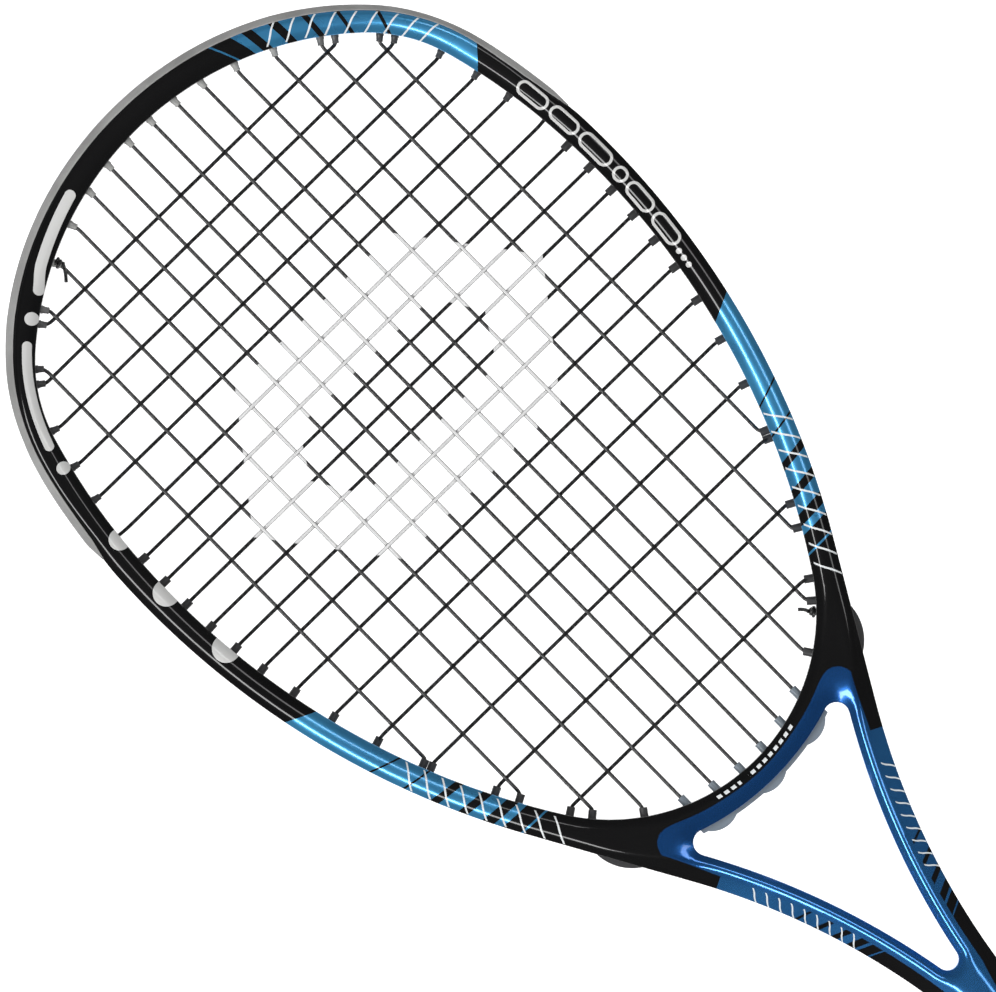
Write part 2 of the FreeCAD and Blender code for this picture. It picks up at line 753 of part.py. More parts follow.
def make_pallet(label, side):
    """Half of the handle foam, on one face of the shaft."""
    body = doc.addObject("PartDesign::Body", label + "_body")
    octagon_prism(body, label + "_outside", CAP_FLOOR, "Sizes.handle_end_y - Sizes.cap_floor", HANDLE)
    shaft = octagon_solid(size("frame_end_y"), LENGTH, SHAFT)
    half = Part.makeBox(100, LENGTH, 100, V(-50, 0, 0 if side > 0 else -100))
    shape = body.Shape.common(half).cut(shaft)
    return shaped(label, shape.cut(fastener_space()))


def octagon_solid(y_low, y_high, section):
    corners = [V(x, y_low, z) for x, z in octagon_points(*section)]
    return Part.Face(Part.makePolygon(corners + corners[:1])).extrude(V(0, y_high - y_low, 0))


def make_nails():
    """Four small nails through the skirt of the butt cap into the handle foam."""
    surface = size("handle_width") / 2 + UNDERLAY
    nails = []
    for side in (-1, 1):
        for z in (-NAIL_Z, NAIL_Z):
            tip = V(side * (surface - NAIL_LENGTH), NAIL_Y, z)
            head = V(side * (surface - NAIL_HEAD), NAIL_Y, z)
            out = V(side * surface, NAIL_Y, z)
            nails.append(rod(tip, head, NAIL_R).fuse(rod(head, out, NAIL_HEAD_R)))
    return Part.makeCompound(nails)


def make_staple():
    """Staple that holds the start of the grip, on the back of the handle."""
    surface = -(size("handle_depth") / 2 + UNDERLAY)
    crown = Part.makeBox(2 * STAPLE_HALF, STAPLE_WIRE, STAPLE_WIRE,
                         V(-STAPLE_HALF, STAPLE_Y, surface - STAPLE_WIRE))
    legs = [Part.makeBox(STAPLE_WIRE, STAPLE_WIRE, STAPLE_LEG, V(x, STAPLE_Y, surface - STAPLE_WIRE))
            for x in (-STAPLE_HALF, STAPLE_HALF - STAPLE_WIRE)]
    return crown.fuse(legs)


def fastener_space():
    """Holes that the nails and the staple fill."""
    return Part.makeCompound(list(make_nails().Solids) + list(make_staple().Solids))


def make_cap():
    """Butt cap: a flared rim, a skirt over the handle foam and a recess for the emblem."""
    body = doc.addObject("PartDesign::Body", "butt_cap_body")
    flare = (size("cap_width"), size("cap_depth"), size("cap_bevel"))
    rim = octagon_prism(body, "cap_rim", 0, "Sizes.cap_rim", flare)
    bottom = []
    for number, edge in enumerate(rim.Shape.Edges, start=1):
        if abs(edge.BoundBox.YMax - edge.BoundBox.YMin) < 0.01 and edge.BoundBox.YMax < 0.01:
            bottom.append("Edge%d" % number)
    rounding = body.newObject("PartDesign::Fillet", "cap_rounding")
    rounding.Base = (rim, bottom)
    rounding.setExpression("Radius", "Sizes.cap_rounding")
    doc.recompute()
    octagon_prism(body, "cap_skirt", CAP_RIM, "Sizes.cap_height - Sizes.cap_rim",
                  grown(HANDLE, UNDERLAY))
    octagon_prism(body, "cap_socket", CAP_FLOOR, "Sizes.cap_height", HANDLE, cut=True)
    recess = Part.makeCylinder(EMBLEM_R + EMBLEM_GAP, size("emblem_thickness"), V(0, 0, 0), Y_AXIS)
    return shaped("butt_cap", body.Shape.cut(recess).cut(fastener_space()))


def make_emblem():
    """Plain domed disc let into the butt cap."""
    body = doc.addObject("PartDesign::Body", "butt_emblem")
    sketch = sketch_on(body, "disc", "XZ_Plane")
    sketch.addGeometry(Part.Circle(V(0, 0, 0), Z_AXIS, EMBLEM_R), False)
    sketch.addConstraint(Sketcher.Constraint("Block", 0))
    disc = body.newObject("PartDesign::Pad", "disc_pad")
    disc.Profile = sketch
    disc.setExpression("Length", "Sizes.emblem_thickness")
    disc.Reversed = True
    doc.recompute()
    return body


def make_grip():
    body = sleeve("grip_wrap_body", CAP_RIM, "Sizes.grip_end_y - Sizes.cap_rim",
                  grown(HANDLE, UNDERLAY), grown(HANDLE, UNDERLAY + GRIP))
    return shaped("grip_wrap", body.Shape.cut(make_staple()))


def make_collar():
    """Rubber ring over the top of the grip, closing on the shaft."""
    tape_outer = grown(HANDLE, UNDERLAY + GRIP + TAPE)
    start = GRIP_END - size("collar_length") / 2
    body = doc.addObject("PartDesign::Body", "grip_collar")
    octagon_prism(body, "collar_outside", start, "Sizes.collar_length",
                  grown(tape_outer, size("collar_wall")))
    octagon_prism(body, "collar_lap", start, "Sizes.collar_length / 2", tape_outer, cut=True)
    octagon_prism(body, "collar_bore", start, "Sizes.collar_length", SHAFT, cut=True)
    return body


keep(make_pallet("handle_pallet_front", 1), "handle_pallet_front")
keep(make_pallet("handle_pallet_back", -1), "handle_pallet_back")
keep(make_cap(), "butt_cap")
keep(shaped("butt_cap_nails", make_nails()), "butt_cap_nails")
keep(make_emblem(), "butt_emblem")
keep(sleeve("grip_underlay", size("cap_height"), "Sizes.handle_end_y - Sizes.cap_height",
            HANDLE, grown(HANDLE, UNDERLAY)), "grip_underlay")
keep(make_grip(), "grip_wrap")
keep(shaped("grip_staple", make_staple()), "grip_staple")
keep(sleeve("finishing_tape", GRIP_END - size("tape_length"), "Sizes.tape_length",
            grown(HANDLE, UNDERLAY + GRIP), grown(HANDLE, UNDERLAY + GRIP + TAPE)), "finishing_tape")
keep(make_collar(), "grip_collar")

# ------------------------------------------------------------------- output

doc.recompute()
for obj in doc.Objects:
    if {"Invalid", "Error"} & set(obj.State):
        raise RuntimeError("%s did not build: %s" % (obj.Label, obj.State))
for piece in PIECES:
    if piece.Shape.isNull() or not piece.Shape.isValid() or not piece.Shape.Solids:
        raise RuntimeError("%s has no valid solid" % piece.Label)

os.makedirs("parts", exist_ok=True)
for piece in PIECES:
    piece.Shape.exportStep("parts/%s.step" % piece.Label)
    box = piece.Shape.BoundBox
    print("%-22s %9.1f mm3  %d solid(s)  x %.1f..%.1f  y %.1f..%.1f  z %.1f..%.1f" % (
        piece.Label, piece.Shape.Volume, len(piece.Shape.Solids),
        box.XMin, box.XMax, box.YMin, box.YMax, box.ZMin, box.ZMax))
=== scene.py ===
import math

import bmesh
import bpy
import numpy as np
from mathutils import Matrix, Vector
from mathutils.geometry import delaunay_2d_cdt


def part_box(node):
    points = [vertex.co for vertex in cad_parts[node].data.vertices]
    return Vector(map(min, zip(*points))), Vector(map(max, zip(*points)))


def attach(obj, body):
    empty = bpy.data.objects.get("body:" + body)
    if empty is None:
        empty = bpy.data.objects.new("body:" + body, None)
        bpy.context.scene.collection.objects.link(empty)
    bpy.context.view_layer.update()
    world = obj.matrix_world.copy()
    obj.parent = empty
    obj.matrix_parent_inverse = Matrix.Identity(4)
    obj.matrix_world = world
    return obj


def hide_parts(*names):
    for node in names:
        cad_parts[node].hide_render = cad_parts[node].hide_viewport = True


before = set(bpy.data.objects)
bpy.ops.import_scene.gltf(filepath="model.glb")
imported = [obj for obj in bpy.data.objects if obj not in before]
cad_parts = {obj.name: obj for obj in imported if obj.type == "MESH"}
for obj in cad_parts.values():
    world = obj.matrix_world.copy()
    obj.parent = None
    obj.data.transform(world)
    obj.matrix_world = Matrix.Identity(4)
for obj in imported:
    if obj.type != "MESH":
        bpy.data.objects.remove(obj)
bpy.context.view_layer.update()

MM = 0.001


# ---------------------------------------------------------------- outlines, in millimetres
# Each outline is a chain of tangent arcs: (radius, turn in degrees), turning right when positive.
# A radius of None is a straight run, and its second number is a length.

OUTSIDE_ARCS = [(115.2, 46.25), (74.1, 27.5), (123.2, 7.7), (284.7, 38.3), (None, 56.6),
                (246.9, -29.75), (None, 236.6)]
OPENING_ARCS = [(111.4, 42.1), (53.6, 31.9), (212.8, 11.1), (262.7, 37.6), (68.0, 57.3)]
LENGTH = 686.0
OPENING_TOP = 675.4
BOTTOM = 12.0
GUARD_REACH = 167.0        # along the outline from the tip to each end of the guard
GROOVE_REACH = 385.0       # along the outline from the tip to each end of the string groove


def walk(start, arcs, step=1.2):
    """Points along a chain of arcs that sets off along +X, and the normals to its right."""
    here = np.array(start, float)
    heading = 0.0
    points, normals = [here.copy()], [np.array([0.0, -1.0])]
    for radius, amount in arcs:
        if radius is None:
            count = max(2, int(amount / step))
            ahead = np.array([math.cos(heading), math.sin(heading)])
            for k in range(1, count + 1):
                points.append(here + ahead * amount * k / count)
                normals.append(np.array([math.sin(heading), -math.cos(heading)]))
            here = here + ahead * amount
            continue
        turn = math.radians(amount)
        side = 1 if turn > 0 else -1
        right = np.array([math.sin(heading), -math.cos(heading)])
        centre = here + right * radius * side
        count = max(3, int(abs(turn) * radius / step))
        for k in range(1, count + 1):
            angle = heading - turn * k / count
            right = np.array([math.sin(angle), -math.cos(angle)])
            points.append(centre - right * radius * side)
            normals.append(right)
        heading -= turn
        here = points[-1]
    return np.array(points), np.array(normals)


def lengths(points):
    return np.concatenate([[0], np.cumsum(np.hypot(*np.diff(points, axis=0).T))])


def both_halves(points, normals):
    """A right half that starts on the centre line, with its mirror image before it."""
    flip = np.array([-1.0, 1.0])
    return (np.vstack([points[:0:-1] * flip, points]), np.vstack([normals[:0:-1] * flip, normals]))


half_points, half_normals = walk((0, LENGTH), OUTSIDE_ARCS)
keep = half_points[:, 1] > BOTTOM - 0.6
half_points, half_normals = half_points[keep], half_normals[keep]
half_points[-1, 1] = BOTTOM
OUT, OUT_IN = both_halves(half_points, half_normals)       # outline and its inward normals
half_along = lengths(half_points)
OUT_S = np.concatenate([-half_along[:0:-1], half_along])   # distance along it from the tip

open_half, open_normals = walk((0, OPENING_TOP), OPENING_ARCS)
open_half[-1, 0] = 0
OPEN, OPEN_IN = (values[:-1] for values in both_halves(open_half, open_normals))
OPEN_OUT = -OPEN_IN                                        # points into the rim


def circle_arc(a, b, c, count):
    """Points of the circle through a, b and c, from a to c, without a."""
    ax, ay = a
    bx, by = b
    cx, cy = c
    d = 2 * (ax * (by - cy) + bx * (cy - ay) + cx * (ay - by))
    ux = ((ax**2 + ay**2) * (by - cy) + (bx**2 + by**2) * (cy - ay) + (cx**2 + cy**2) * (ay - by)) / d
    uy = ((ax**2 + ay**2) * (cx - bx) + (bx**2 + by**2) * (ax - cx) + (cx**2 + cy**2) * (bx - ax)) / d
    r = math.hypot(ax - ux, ay - uy)
    start = math.atan2(ay - uy, ax - ux)
    end = math.atan2(cy - uy, cx - ux)
    turn = (end - start + math.pi) % (2 * math.pi) - math.pi
    return [(ux + r * math.cos(start + turn * k / count), uy + r * math.sin(start + turn * k / count))
            for k in range(1, count + 1)]


TOP_ARC_STEPS = 22
THROAT_TOP = (0.0, 377.0)
THROAT_OVER = (15.4, 378.3)            # on the arc over the throat
THROAT_CORNER = [(28.41, 381.54), (33.20, 380.14), (33.60, 375.17)]
THROAT_WAIST = (14.4, 333.6)
THROAT_FOOT = (3.7, 294.1)
CROTCH = [(2.42, 291.91), (0.0, 291.03)]
throat_half = [THROAT_TOP]
throat_half += circle_arc(THROAT_TOP, THROAT_OVER, THROAT_CORNER[0], TOP_ARC_STEPS)
throat_half += circle_arc(*THROAT_CORNER, 8)
throat_half += circle_arc(THROAT_CORNER[2], THROAT_WAIST, THROAT_FOOT, 70)
throat_half += circle_arc(THROAT_FOOT, *CROTCH, 5)
throat_half = np.array(throat_half)
THROAT = np.vstack([throat_half[:0:-1] * np.array([-1.0, 1.0]), throat_half[:-1]])


def outward_normals(loop):
    """Left-hand normals of a clockwise closed loop."""
    ahead = np.roll(loop, -1, axis=0) - np.roll(loop, 1, axis=0)
    ahead /= np.hypot(*ahead.T)[:, None]
    return np.column_stack([-ahead[:, 1], ahead[:, 0]])


THROAT_OUT = outward_normals(THROAT)


def distance(points, line, closed=False):
    """Distance from each point to a polyline."""
    a = line if closed else line[:-1]
    b = np.roll(line, -1, axis=0) if closed else line[1:]
    ab = b - a
    best = np.full(len(points), 1e9)
    for lot in range(0, len(points), 4000):
        p = points[lot:lot + 4000, None, :]
        t = np.clip(((p - a) * ab).sum(2) / (ab * ab).sum(1), 0, 1)
        gap = p - a - t[..., None] * ab
        best[lot:lot + 4000] = np.sqrt((gap * gap).sum(2).min(1))
    return best


def inside(points, loop):
    """True where a point is inside a closed polygon."""
    x, y = points[:, 0], points[:, 1]
    result = np.zeros(len(points), bool)
    for (x1, y1), (x2, y2) in zip(loop, np.roll(loop, -1, axis=0)):
        if y1 == y2:
            continue
        crosses = (y1 > y) != (y2 > y)
        result ^= crosses & (x < (x2 - x1) * (y - y1) / (y2 - y1) + x1)
    return result


def along_outline(points):
    """Signed distance along the outline of the nearest point of it, from the tip."""
    result = np.zeros(len(points))
    for lot in range(0, len(points), 2000):
        p = points[lot:lot + 2000]
        gap = ((p[:, None, :] - OUT) ** 2).sum(2)
        near = gap.argmin(1)
        tangent = np.column_stack([-OUT_IN[near, 1], OUT_IN[near, 0]])
        result[lot:lot + 2000] = OUT_S[near] + ((p - OUT[near]) * tangent).sum(1)
    return result


def smooth(x, low, high):
    t = np.clip((np.asarray(x, float) - low) / (high - low), 0, 1)
    return t * t * (3 - 2 * t)


def soft_min(a, b, width):
    h = np.clip(width - np.abs(a - b), 0, None) / width
    return np.minimum(a, b) - h * h * width / 4


# ---------------------------------------------------------------- meshes

def add_attributes(mesh, attributes):
    """Numbers stored at a mesh's vertices, for its material."""
    for key, values in attributes.items():
        layer = mesh.attributes.new(key, "FLOAT", "POINT")
        layer.data.foreach_set("value", np.asarray(values, np.float32))


def smooth_faces(mesh):
    for polygon in mesh.polygons:
        polygon.use_smooth = True


def close_holes(mesh):
    """Fills the open ends of a mesh and turns its faces outwards."""
    bm = bmesh.new()
    bm.from_mesh(mesh)
    bmesh.ops.holes_fill(bm, edges=[e for e in bm.edges if e.is_boundary], sides=0)
    bmesh.ops.recalc_face_normals(bm, faces=bm.faces)
    bm.to_mesh(mesh)
    bm.free()


def make_object(name, verts, faces, material=None, attributes=None):
    mesh = bpy.data.meshes.new(name)
    mesh.from_pydata([tuple(v) for v in verts], [], [tuple(f) for f in faces])
    mesh.validate()
    add_attributes(mesh, attributes or {})
    mesh.update()
    obj = bpy.data.objects.new(name, mesh)
    bpy.context.scene.collection.objects.link(obj)
    smooth_faces(mesh)
    if material:
        mesh.materials.append(material)
    return obj


def tidy_normals(obj):
    bm = bmesh.new()
    bm.from_mesh(obj.data)
    bmesh.ops.remove_doubles(bm, verts=bm.verts, dist=0.00002)
    bmesh.ops.recalc_face_normals(bm, faces=bm.faces)
    bm.to_mesh(obj.data)
    bm.free()
    obj.data.update()


def grid_faces(rows, columns, wrap_rows=False, wrap_columns=False):
    faces = []
    for i in range(rows if wrap_rows else rows - 1):
        for j in range(columns if wrap_columns else columns - 1):
            i2, j2 = (i + 1) % rows, (j + 1) % columns
            faces.append((i * columns + j, i * columns + j2, i2 * columns + j2, i2 * columns + j))
    return faces


def tube(points, radius, sides=10, taper=None):
    """A round tube along points, closed at both ends. Points and radius in millimetres."""
    points = np.asarray(points, float)
    ahead = np.gradient(points, axis=0)
    ahead /= np.linalg.norm(ahead, axis=1)[:, None]
    side = np.cross(ahead[0], [0.0, 0.0, 1.0])
    if np.linalg.norm(side) < 0.1:
        side = np.cross(ahead[0], [1.0, 0.0, 0.0])
    side /= np.linalg.norm(side)
    rings = []
    for k, (p, t) in enumerate(zip(points, ahead)):
        side = side - t * side.dot(t)
        side /= np.linalg.norm(side)
        other = np.cross(t, side)
        r = radius * (taper[k] if taper is not None else 1)
        for a in np.arange(sides) * 2 * math.pi / sides:
            rings.append(p + r * (math.cos(a) * side + math.sin(a) * other))
    count = len(points)
    faces = grid_faces(count, sides, wrap_columns=True)
    rings += [points[0], points[-1]]
    first, last = count * sides, count * sides + 1
    faces += [(first, (j + 1) % sides, j) for j in range(sides)]
    base = (count - 1) * sides
    faces += [(last, base + j, base + (j + 1) % sides) for j in range(sides)]
    return np.array(rings), faces


def join_parts(parts):
    """One vertex list and face list from several."""
    verts, faces, start = [], [], 0
    for v, f in parts:
        verts.append(np.asarray(v))
        faces += [tuple(i + start for i in face) for face in f]
        start += len(v)
    return np.vstack(verts), faces


# ---------------------------------------------------------------- shader sums

class Sum:
    """A value in a material's node tree, with ordinary arithmetic."""

    def __init__(self, tree, socket):
        self.tree, self.socket = tree, socket

    def math(self, operation, *others):
        node = self.tree.nodes.new("ShaderNodeMath")
        node.operation = operation
        self.tree.links.new(self.socket, node.inputs[0])
        for k, other in enumerate(others, 1):
            if isinstance(other, Sum):
                self.tree.links.new(other.socket, node.inputs[k])
            else:
                node.inputs[k].default_value = other
        return Sum(self.tree, node.outputs[0])

    def __add__(self, o): return self.math("ADD", o)
    def __sub__(self, o): return self.math("SUBTRACT", o)
    def __mul__(self, o): return self.math("MULTIPLY", o)
    def __truediv__(self, o): return self.math("DIVIDE", o)
    def __gt__(self, o): return self.math("GREATER_THAN", o)
    def __lt__(self, o): return self.math("LESS_THAN", o)
    def __and__(self, o): return self.math("MULTIPLY", o)
    def __or__(self, o): return self.math("MAXIMUM", o)
    def inverse(self): return self * -1.0 + 1.0
    def abs(self): return self.math("ABSOLUTE")
    def fract(self): return self.math("FRACT")
    def floor(self): return self.math("FLOOR")
    def sin(self): return self.math("SINE")
    def root(self): return self.math("SQRT")
    def high(self, o): return self.math("MAXIMUM", o)

    def between(self, low, high):
        return (self > low) & (self < high)

    def near(self, middle, half_width):
        return (self - middle).abs() < half_width

    def ramp(self, low, high, out_low=0.0, out_high=1.0):
        node = self.tree.nodes.new("ShaderNodeMapRange")
        node.interpolation_type = "SMOOTHSTEP"
        self.tree.links.new(self.socket, node.inputs["Value"])
        for name, value in (("From Min", low), ("From Max", high), ("To Min", out_low), ("To Max", out_high)):
            node.inputs[name].default_value = value
        return Sum(self.tree, node.outputs[0])


class Paint:
    """A new material with short names for the nodes that these materials share."""

    def __init__(self, name):
        self.material = bpy.data.materials.new(name)
        self.material.use_nodes = True
        self.tree = self.material.node_tree
        self.shader = self.tree.nodes["Principled BSDF"]
        coordinates = self.tree.nodes.new("ShaderNodeTexCoord")
        self.place = coordinates.outputs["Object"]
        split = self.tree.nodes.new("ShaderNodeSeparateXYZ")
        self.tree.links.new(self.place, split.inputs[0])
        self.x = Sum(self.tree, split.outputs[0]) * 1000.0
        self.y = Sum(self.tree, split.outputs[1]) * 1000.0
        self.z = Sum(self.tree, split.outputs[2]) * 1000.0

    def attribute(self, name):
        node = self.tree.nodes.new("ShaderNodeAttribute")
        node.attribute_name = name
        return Sum(self.tree, node.outputs["Fac"])

    def vector(self, x, y, z):
        node = self.tree.nodes.new("ShaderNodeCombineXYZ")
        for socket, value in zip(node.inputs, (x, y, z)):
            if isinstance(value, Sum):
                self.tree.links.new(value.socket, socket)
            else:
                socket.default_value = value
        return node.outputs[0]

    def noise(self, scale, detail=4.0, rough=0.55, at=None):
        node = self.tree.nodes.new("ShaderNodeTexNoise")
        node.inputs["Scale"].default_value = scale
        node.inputs["Detail"].default_value = detail
        node.inputs["Roughness"].default_value = rough
        self.tree.links.new(at or self.place, node.inputs["Vector"])
        return Sum(self.tree, node.outputs[0])

    def cells(self, scale, at=None):
        node = self.tree.nodes.new("ShaderNodeTexVoronoi")
        node.inputs["Scale"].default_value = scale
        self.tree.links.new(at or self.place, node.inputs["Vector"])
        return Sum(self.tree, node.outputs["Distance"])

    def mix(self, fac, a, b):
        node = self.tree.nodes.new("ShaderNodeMix")
        node.data_type = "RGBA"
        self.plug(fac, node.inputs["Factor"])
        self.plug(a, node.inputs[6])
        self.plug(b, node.inputs[7])
        return node.outputs[2]

    def plug(self, value, socket):
        if isinstance(value, Sum):
            self.tree.links.new(value.socket, socket)
        elif isinstance(value, bpy.types.NodeSocket):
            self.tree.links.new(value, socket)
        elif isinstance(value, tuple) and len(value) == 3:
            socket.default_value = (*value, 1.0)
        else:
            socket.default_value = value

    def set(self, **values):
        names = dict(colour="Base Color", metal="Metallic", rough="Roughness", coat="Coat Weight",
                     coat_rough="Coat Roughness", coat_ior="Coat IOR", gloss="Specular IOR Level",
                     sheen="Sheen Weight", inner="Subsurface Weight")
        for key, value in values.items():
            self.plug(value, self.shader.inputs[names[key]])
        return self

    def bump(self, height, depth, strength=1.0):
        node = self.tree.nodes.new("ShaderNodeBump")
        node.inputs["Distance"].default_value = depth
        node.inputs["Strength"].default_value = strength
        self.plug(height, node.inputs["Height"])
        previous = self.shader.inputs["Normal"].links
        if previous:
            self.tree.links.new(previous[0].from_socket, node.inputs["Normal"])
        self.tree.links.new(node.outputs[0], self.shader.inputs["Normal"])
        return self


BLACK = (0.0045, 0.0045, 0.0048)
BLACK_WORN = (0.009, 0.009, 0.0095)
BLUE = (0.055, 0.29, 0.58)
BLUE_LIGHT = (0.085, 0.42, 0.74)
BLUE_DEEP = (0.034, 0.205, 0.58)
# painted shade: the throat's blue made darker on the bridge, which faces the dark space above
BLUE_BRIDGE_SHADE = (0.016, 0.115, 0.39)
WHITE = (0.78, 0.81, 0.82)
CHIP = (0.64, 0.64, 0.63)

# Bars that break up the blue fields: the middle and half the width of each, in millimetres along the
# outline from the tip, where the bar would meet the outside.
TIP_BARS = [(48.95, 1.85), (58.35, 1.75), (69.25, 1.15), (80.45, 0.75), (94.0, 0.7)]
LOW_BARS = [(292.0, 0.4), (302.9, 1.45), (312.9, 1.6), (321.8, 2.0)]
ARM_BARS = [(427.8, 0.5), (435.3, 0.9), (441.7, 1.15), (447.7, 1.5)]
YOKE_DEPTH = 4.3           # the blue of the throat starts this far in from the outside of the arms


def any_bar(run, bars):
    """1 where a place along the outline lies in one of the bars."""
    found = run.near(*bars[0])
    for bar in bars[1:]:
        found = found | run.near(*bar)
    return found


def blue_fields(m, a, s, d):
    """The blue of the lower sides of the head, the right of the tip and the outside of the arms."""
    run = a - d * 0.62
    low = (a - d * 0.8 > 247.3) & (run < 326.8) & any_bar(run, LOW_BARS).inverse()
    low = (low & (a - d * 0.8).near(279.6, 0.4).inverse()) | run.near(333.45, 0.4)
    run = s - d * 0.69
    tip = (s - d * 0.83 > 42.8) & (run < 129.0) & any_bar(run, TIP_BARS).inverse()
    tip = (tip | (s - d).near(34.5, 0.42)) & (s > 0.0)
    run = a - d * 0.8 - (m.x > 0.0) * 7.6
    arm = (a > 399.9) & (run < 450.4) & any_bar(run, ARM_BARS).inverse()
    arm = (arm | run.near(454.5, 0.3)) & (d < YOKE_DEPTH)
    return low | tip, arm


def hair_lines(d, along, first, pitch, count, lean, half_width, inner, outer):
    """A row of thin slanting lines across the rim, each with a slight double bend."""
    across = (d * -1.0 + inner) / (inner - outer)
    swing = across * lean + (across * math.tau).sin() * 0.15
    number = ((along - swing - first) / pitch + 0.5).floor()
    gap = (along - swing - first - number * pitch).abs()
    return (gap < half_width) & number.between(-0.5, count - 0.5) & d.between(outer - 0.1, inner)


def pill(run, depth, first, last, middle, radius):
    """A bar with round ends along the rim, or a dot where first and last are the same."""
    over = (run - last).high(run * -1.0 + first).high(0.0)
    side = depth - middle
    return (over * over + side * side).root() < radius


def outlined(run, depth, first, last, middle, radius, line=0.95):
    """The outline of a bar with round ends."""
    whole = pill(run, depth, first + radius, last - radius, middle, radius)
    return whole & pill(run, depth, first + radius, last - radius, middle, radius - line).inverse()


def chip_shapes(s, d):
    """Plain pale bars, dots and half rounds on the left of the head, and outlined bars on the right."""
    left = s * -1.0
    chips = pill(left, d, 33.2, 68.3, left.ramp(59.0, 70.0, 6.4, 7.7), 1.85)
    chips = chips | pill(left, d, 78.6, 78.6, 6.9, 2.4)
    chips = chips | pill(left, d, 88.1, 125.3, left.ramp(88.0, 126.0, 6.0, 6.8), 1.6)
    for place, middle, radius in ((134.3, 7.5, 2.3), (165.4, 8.6, 3.7), (189.4, 8.2, 4.6), (217.0, 8.0, 4.8)):
        chips = chips | pill(left, d, place, place, middle, radius)
    for first, last, middle, radius in ((149.5, 162.0, 5.2, 2.7), (163.2, 175.2, 4.7, 2.7),
                                        (176.5, 190.4, 4.5, 2.9), (192.4, 198.0, 4.4, 2.7),
                                        (199.2, 211.2, 4.5, 2.8), (212.6, 225.2, 4.5, 2.8)):
        chips = chips | outlined(s, d, first, last, middle, radius)
    for place in (227.4, 230.2, 233.0):
        chips = chips | pill(s, d, place, place, 5.6, 1.0)
    return chips


def frame_paint():
    m = Paint("frame_paint")
    a = m.attribute("along")          # millimetres from the tip, either way round
    d = m.attribute("from_outside")
    s = a * ((m.x > 0.0) * 2.0 - 1.0)       # the same, negative on the left
    head_blue, arm_blue = blue_fields(m, a, s, d)
    yoke_blue = (m.attribute("yoke") < 0.0) & (d > a.ramp(380.0, 402.0, 5.6, YOKE_DEPTH))
    blue = head_blue | arm_blue | yoke_blue

    hair = hair_lines(d, a, 289.1, 6.64, 9, 5.5, 0.36, 8.3, 0.4)
    hair = hair | (hair_lines(d, s, 55.7, 6.97, 9, 4.35, 0.36, 9.0, 1.8) & (m.x > 0.0))
    hair = hair | hair_lines(d, a, 411.0, 4.46, 9, 2.5, 0.28, 4.2, 0.2)
    ticks = m.attribute("from_head").between(1.7, 2.9) & (m.x.abs() < 17.2) & m.y.between(381.5, 388.0)
    ticks = ticks & ((m.x / 2.7 + 0.3).fract() < 0.6) & (m.x + 6.2).near(0.0, 1.6).inverse()
    white = hair | ticks
    chips = chip_shapes(s, d) & (m.z.abs() > 5.9)

    flake = m.cells(5200.0)
    cloud = m.noise(9.0, 3.0)
    shade = m.noise(38.0, 2.0).ramp(0.35, 0.65, 0.15, 0.55)
    lively = m.mix(shade, BLUE, BLUE_LIGHT)
    deep = m.mix(cloud.ramp(0.4, 0.6, 0.0, 0.3), BLUE_DEEP, BLUE)
    # painted shade: the blue turns darker across the bridge
    deep = m.mix(m.y.ramp(362.0, 380.0), deep, BLUE_BRIDGE_SHADE)
    blue_colour = m.mix(arm_blue * 0.8, m.mix(yoke_blue, lively, deep), BLUE_DEEP)
    colour = m.mix(cloud.ramp(0.3, 0.7, 0.0, 0.6), BLACK, BLACK_WORN)
    colour = m.mix(blue, colour, blue_colour)
    colour = m.mix(chips, colour, CHIP)
    colour = m.mix(white, colour, WHITE)
    scuff = m.noise(190.0, 8.0, 0.7).ramp(0.66, 0.74, 0.0, 1.0) & d.ramp(0.0, 1.2, 1.0, 0.0)
    colour = m.mix(scuff * 0.4, colour, (0.08, 0.08, 0.08))
    plain = (white | chips).inverse()
    throat = (yoke_blue | arm_blue) & plain
    metal = (blue & plain) * 0.62 + throat * 0.14
    rough = m.noise(70.0, 3.0).ramp(0.3, 0.7, 0.26, 0.32) - throat * 0.06 + scuff * 0.3
    gloss = (blue & plain) * 0.3 + 0.05
    m.set(colour=colour, metal=metal, rough=rough, coat=0.85, coat_rough=0.06, gloss=gloss, coat_ior=1.5)
    m.bump(m.noise(420.0, 2.0), 0.00001, 0.35)
    m.bump(flake, 0.000006, 0.08)
    m.bump(white | chips, 0.00002, 0.6)
    return m.material


def bumper_plastic():
    m = Paint("bumper_plastic")
    grain = m.noise(900.0, 3.0)
    streak = m.noise(60.0, 5.0, 0.6)
    scuffs = m.noise(260.0, 8.0, 0.75).ramp(0.60, 0.74)
    colour = m.mix(streak.ramp(0.35, 0.65), (0.285, 0.285, 0.28), (0.36, 0.36, 0.355))
    colour = m.mix(scuffs * 0.5, colour, (0.50, 0.50, 0.49))
    m.set(colour=colour, rough=grain.ramp(0.3, 0.7, 0.42, 0.58), gloss=0.45)
    m.bump(grain, 0.00003, 0.5).bump(scuffs, 0.00004, 0.4)
    return m.material


def grommet_plastic(name, dark, pale, shade_boundary=None):
    """Soft nylon: painted darker round the sides of the head as shade, and pale where it is clear."""
    m = Paint(name)
    grain = m.noise(1200.0, 3.0)
    cloud = m.noise(160.0, 4.0)
    if shade_boundary is None:
        fac = cloud.ramp(0.2, 0.8, 0.7, 1.0)
    else:
        # painted shade: darker below the boundary, down the sides of the head
        fac = m.y.ramp(*shade_boundary) * cloud.ramp(0.2, 0.8, 0.75, 1.0)
    m.set(colour=m.mix(fac, dark, pale), rough=grain.ramp(0.3, 0.7, 0.30, 0.42), inner=fac * 0.4, gloss=0.5)
    m.shader.inputs["Subsurface Radius"].default_value = (0.001, 0.001, 0.001)
    m.bump(grain, 0.00002, 0.4)
    return m.material


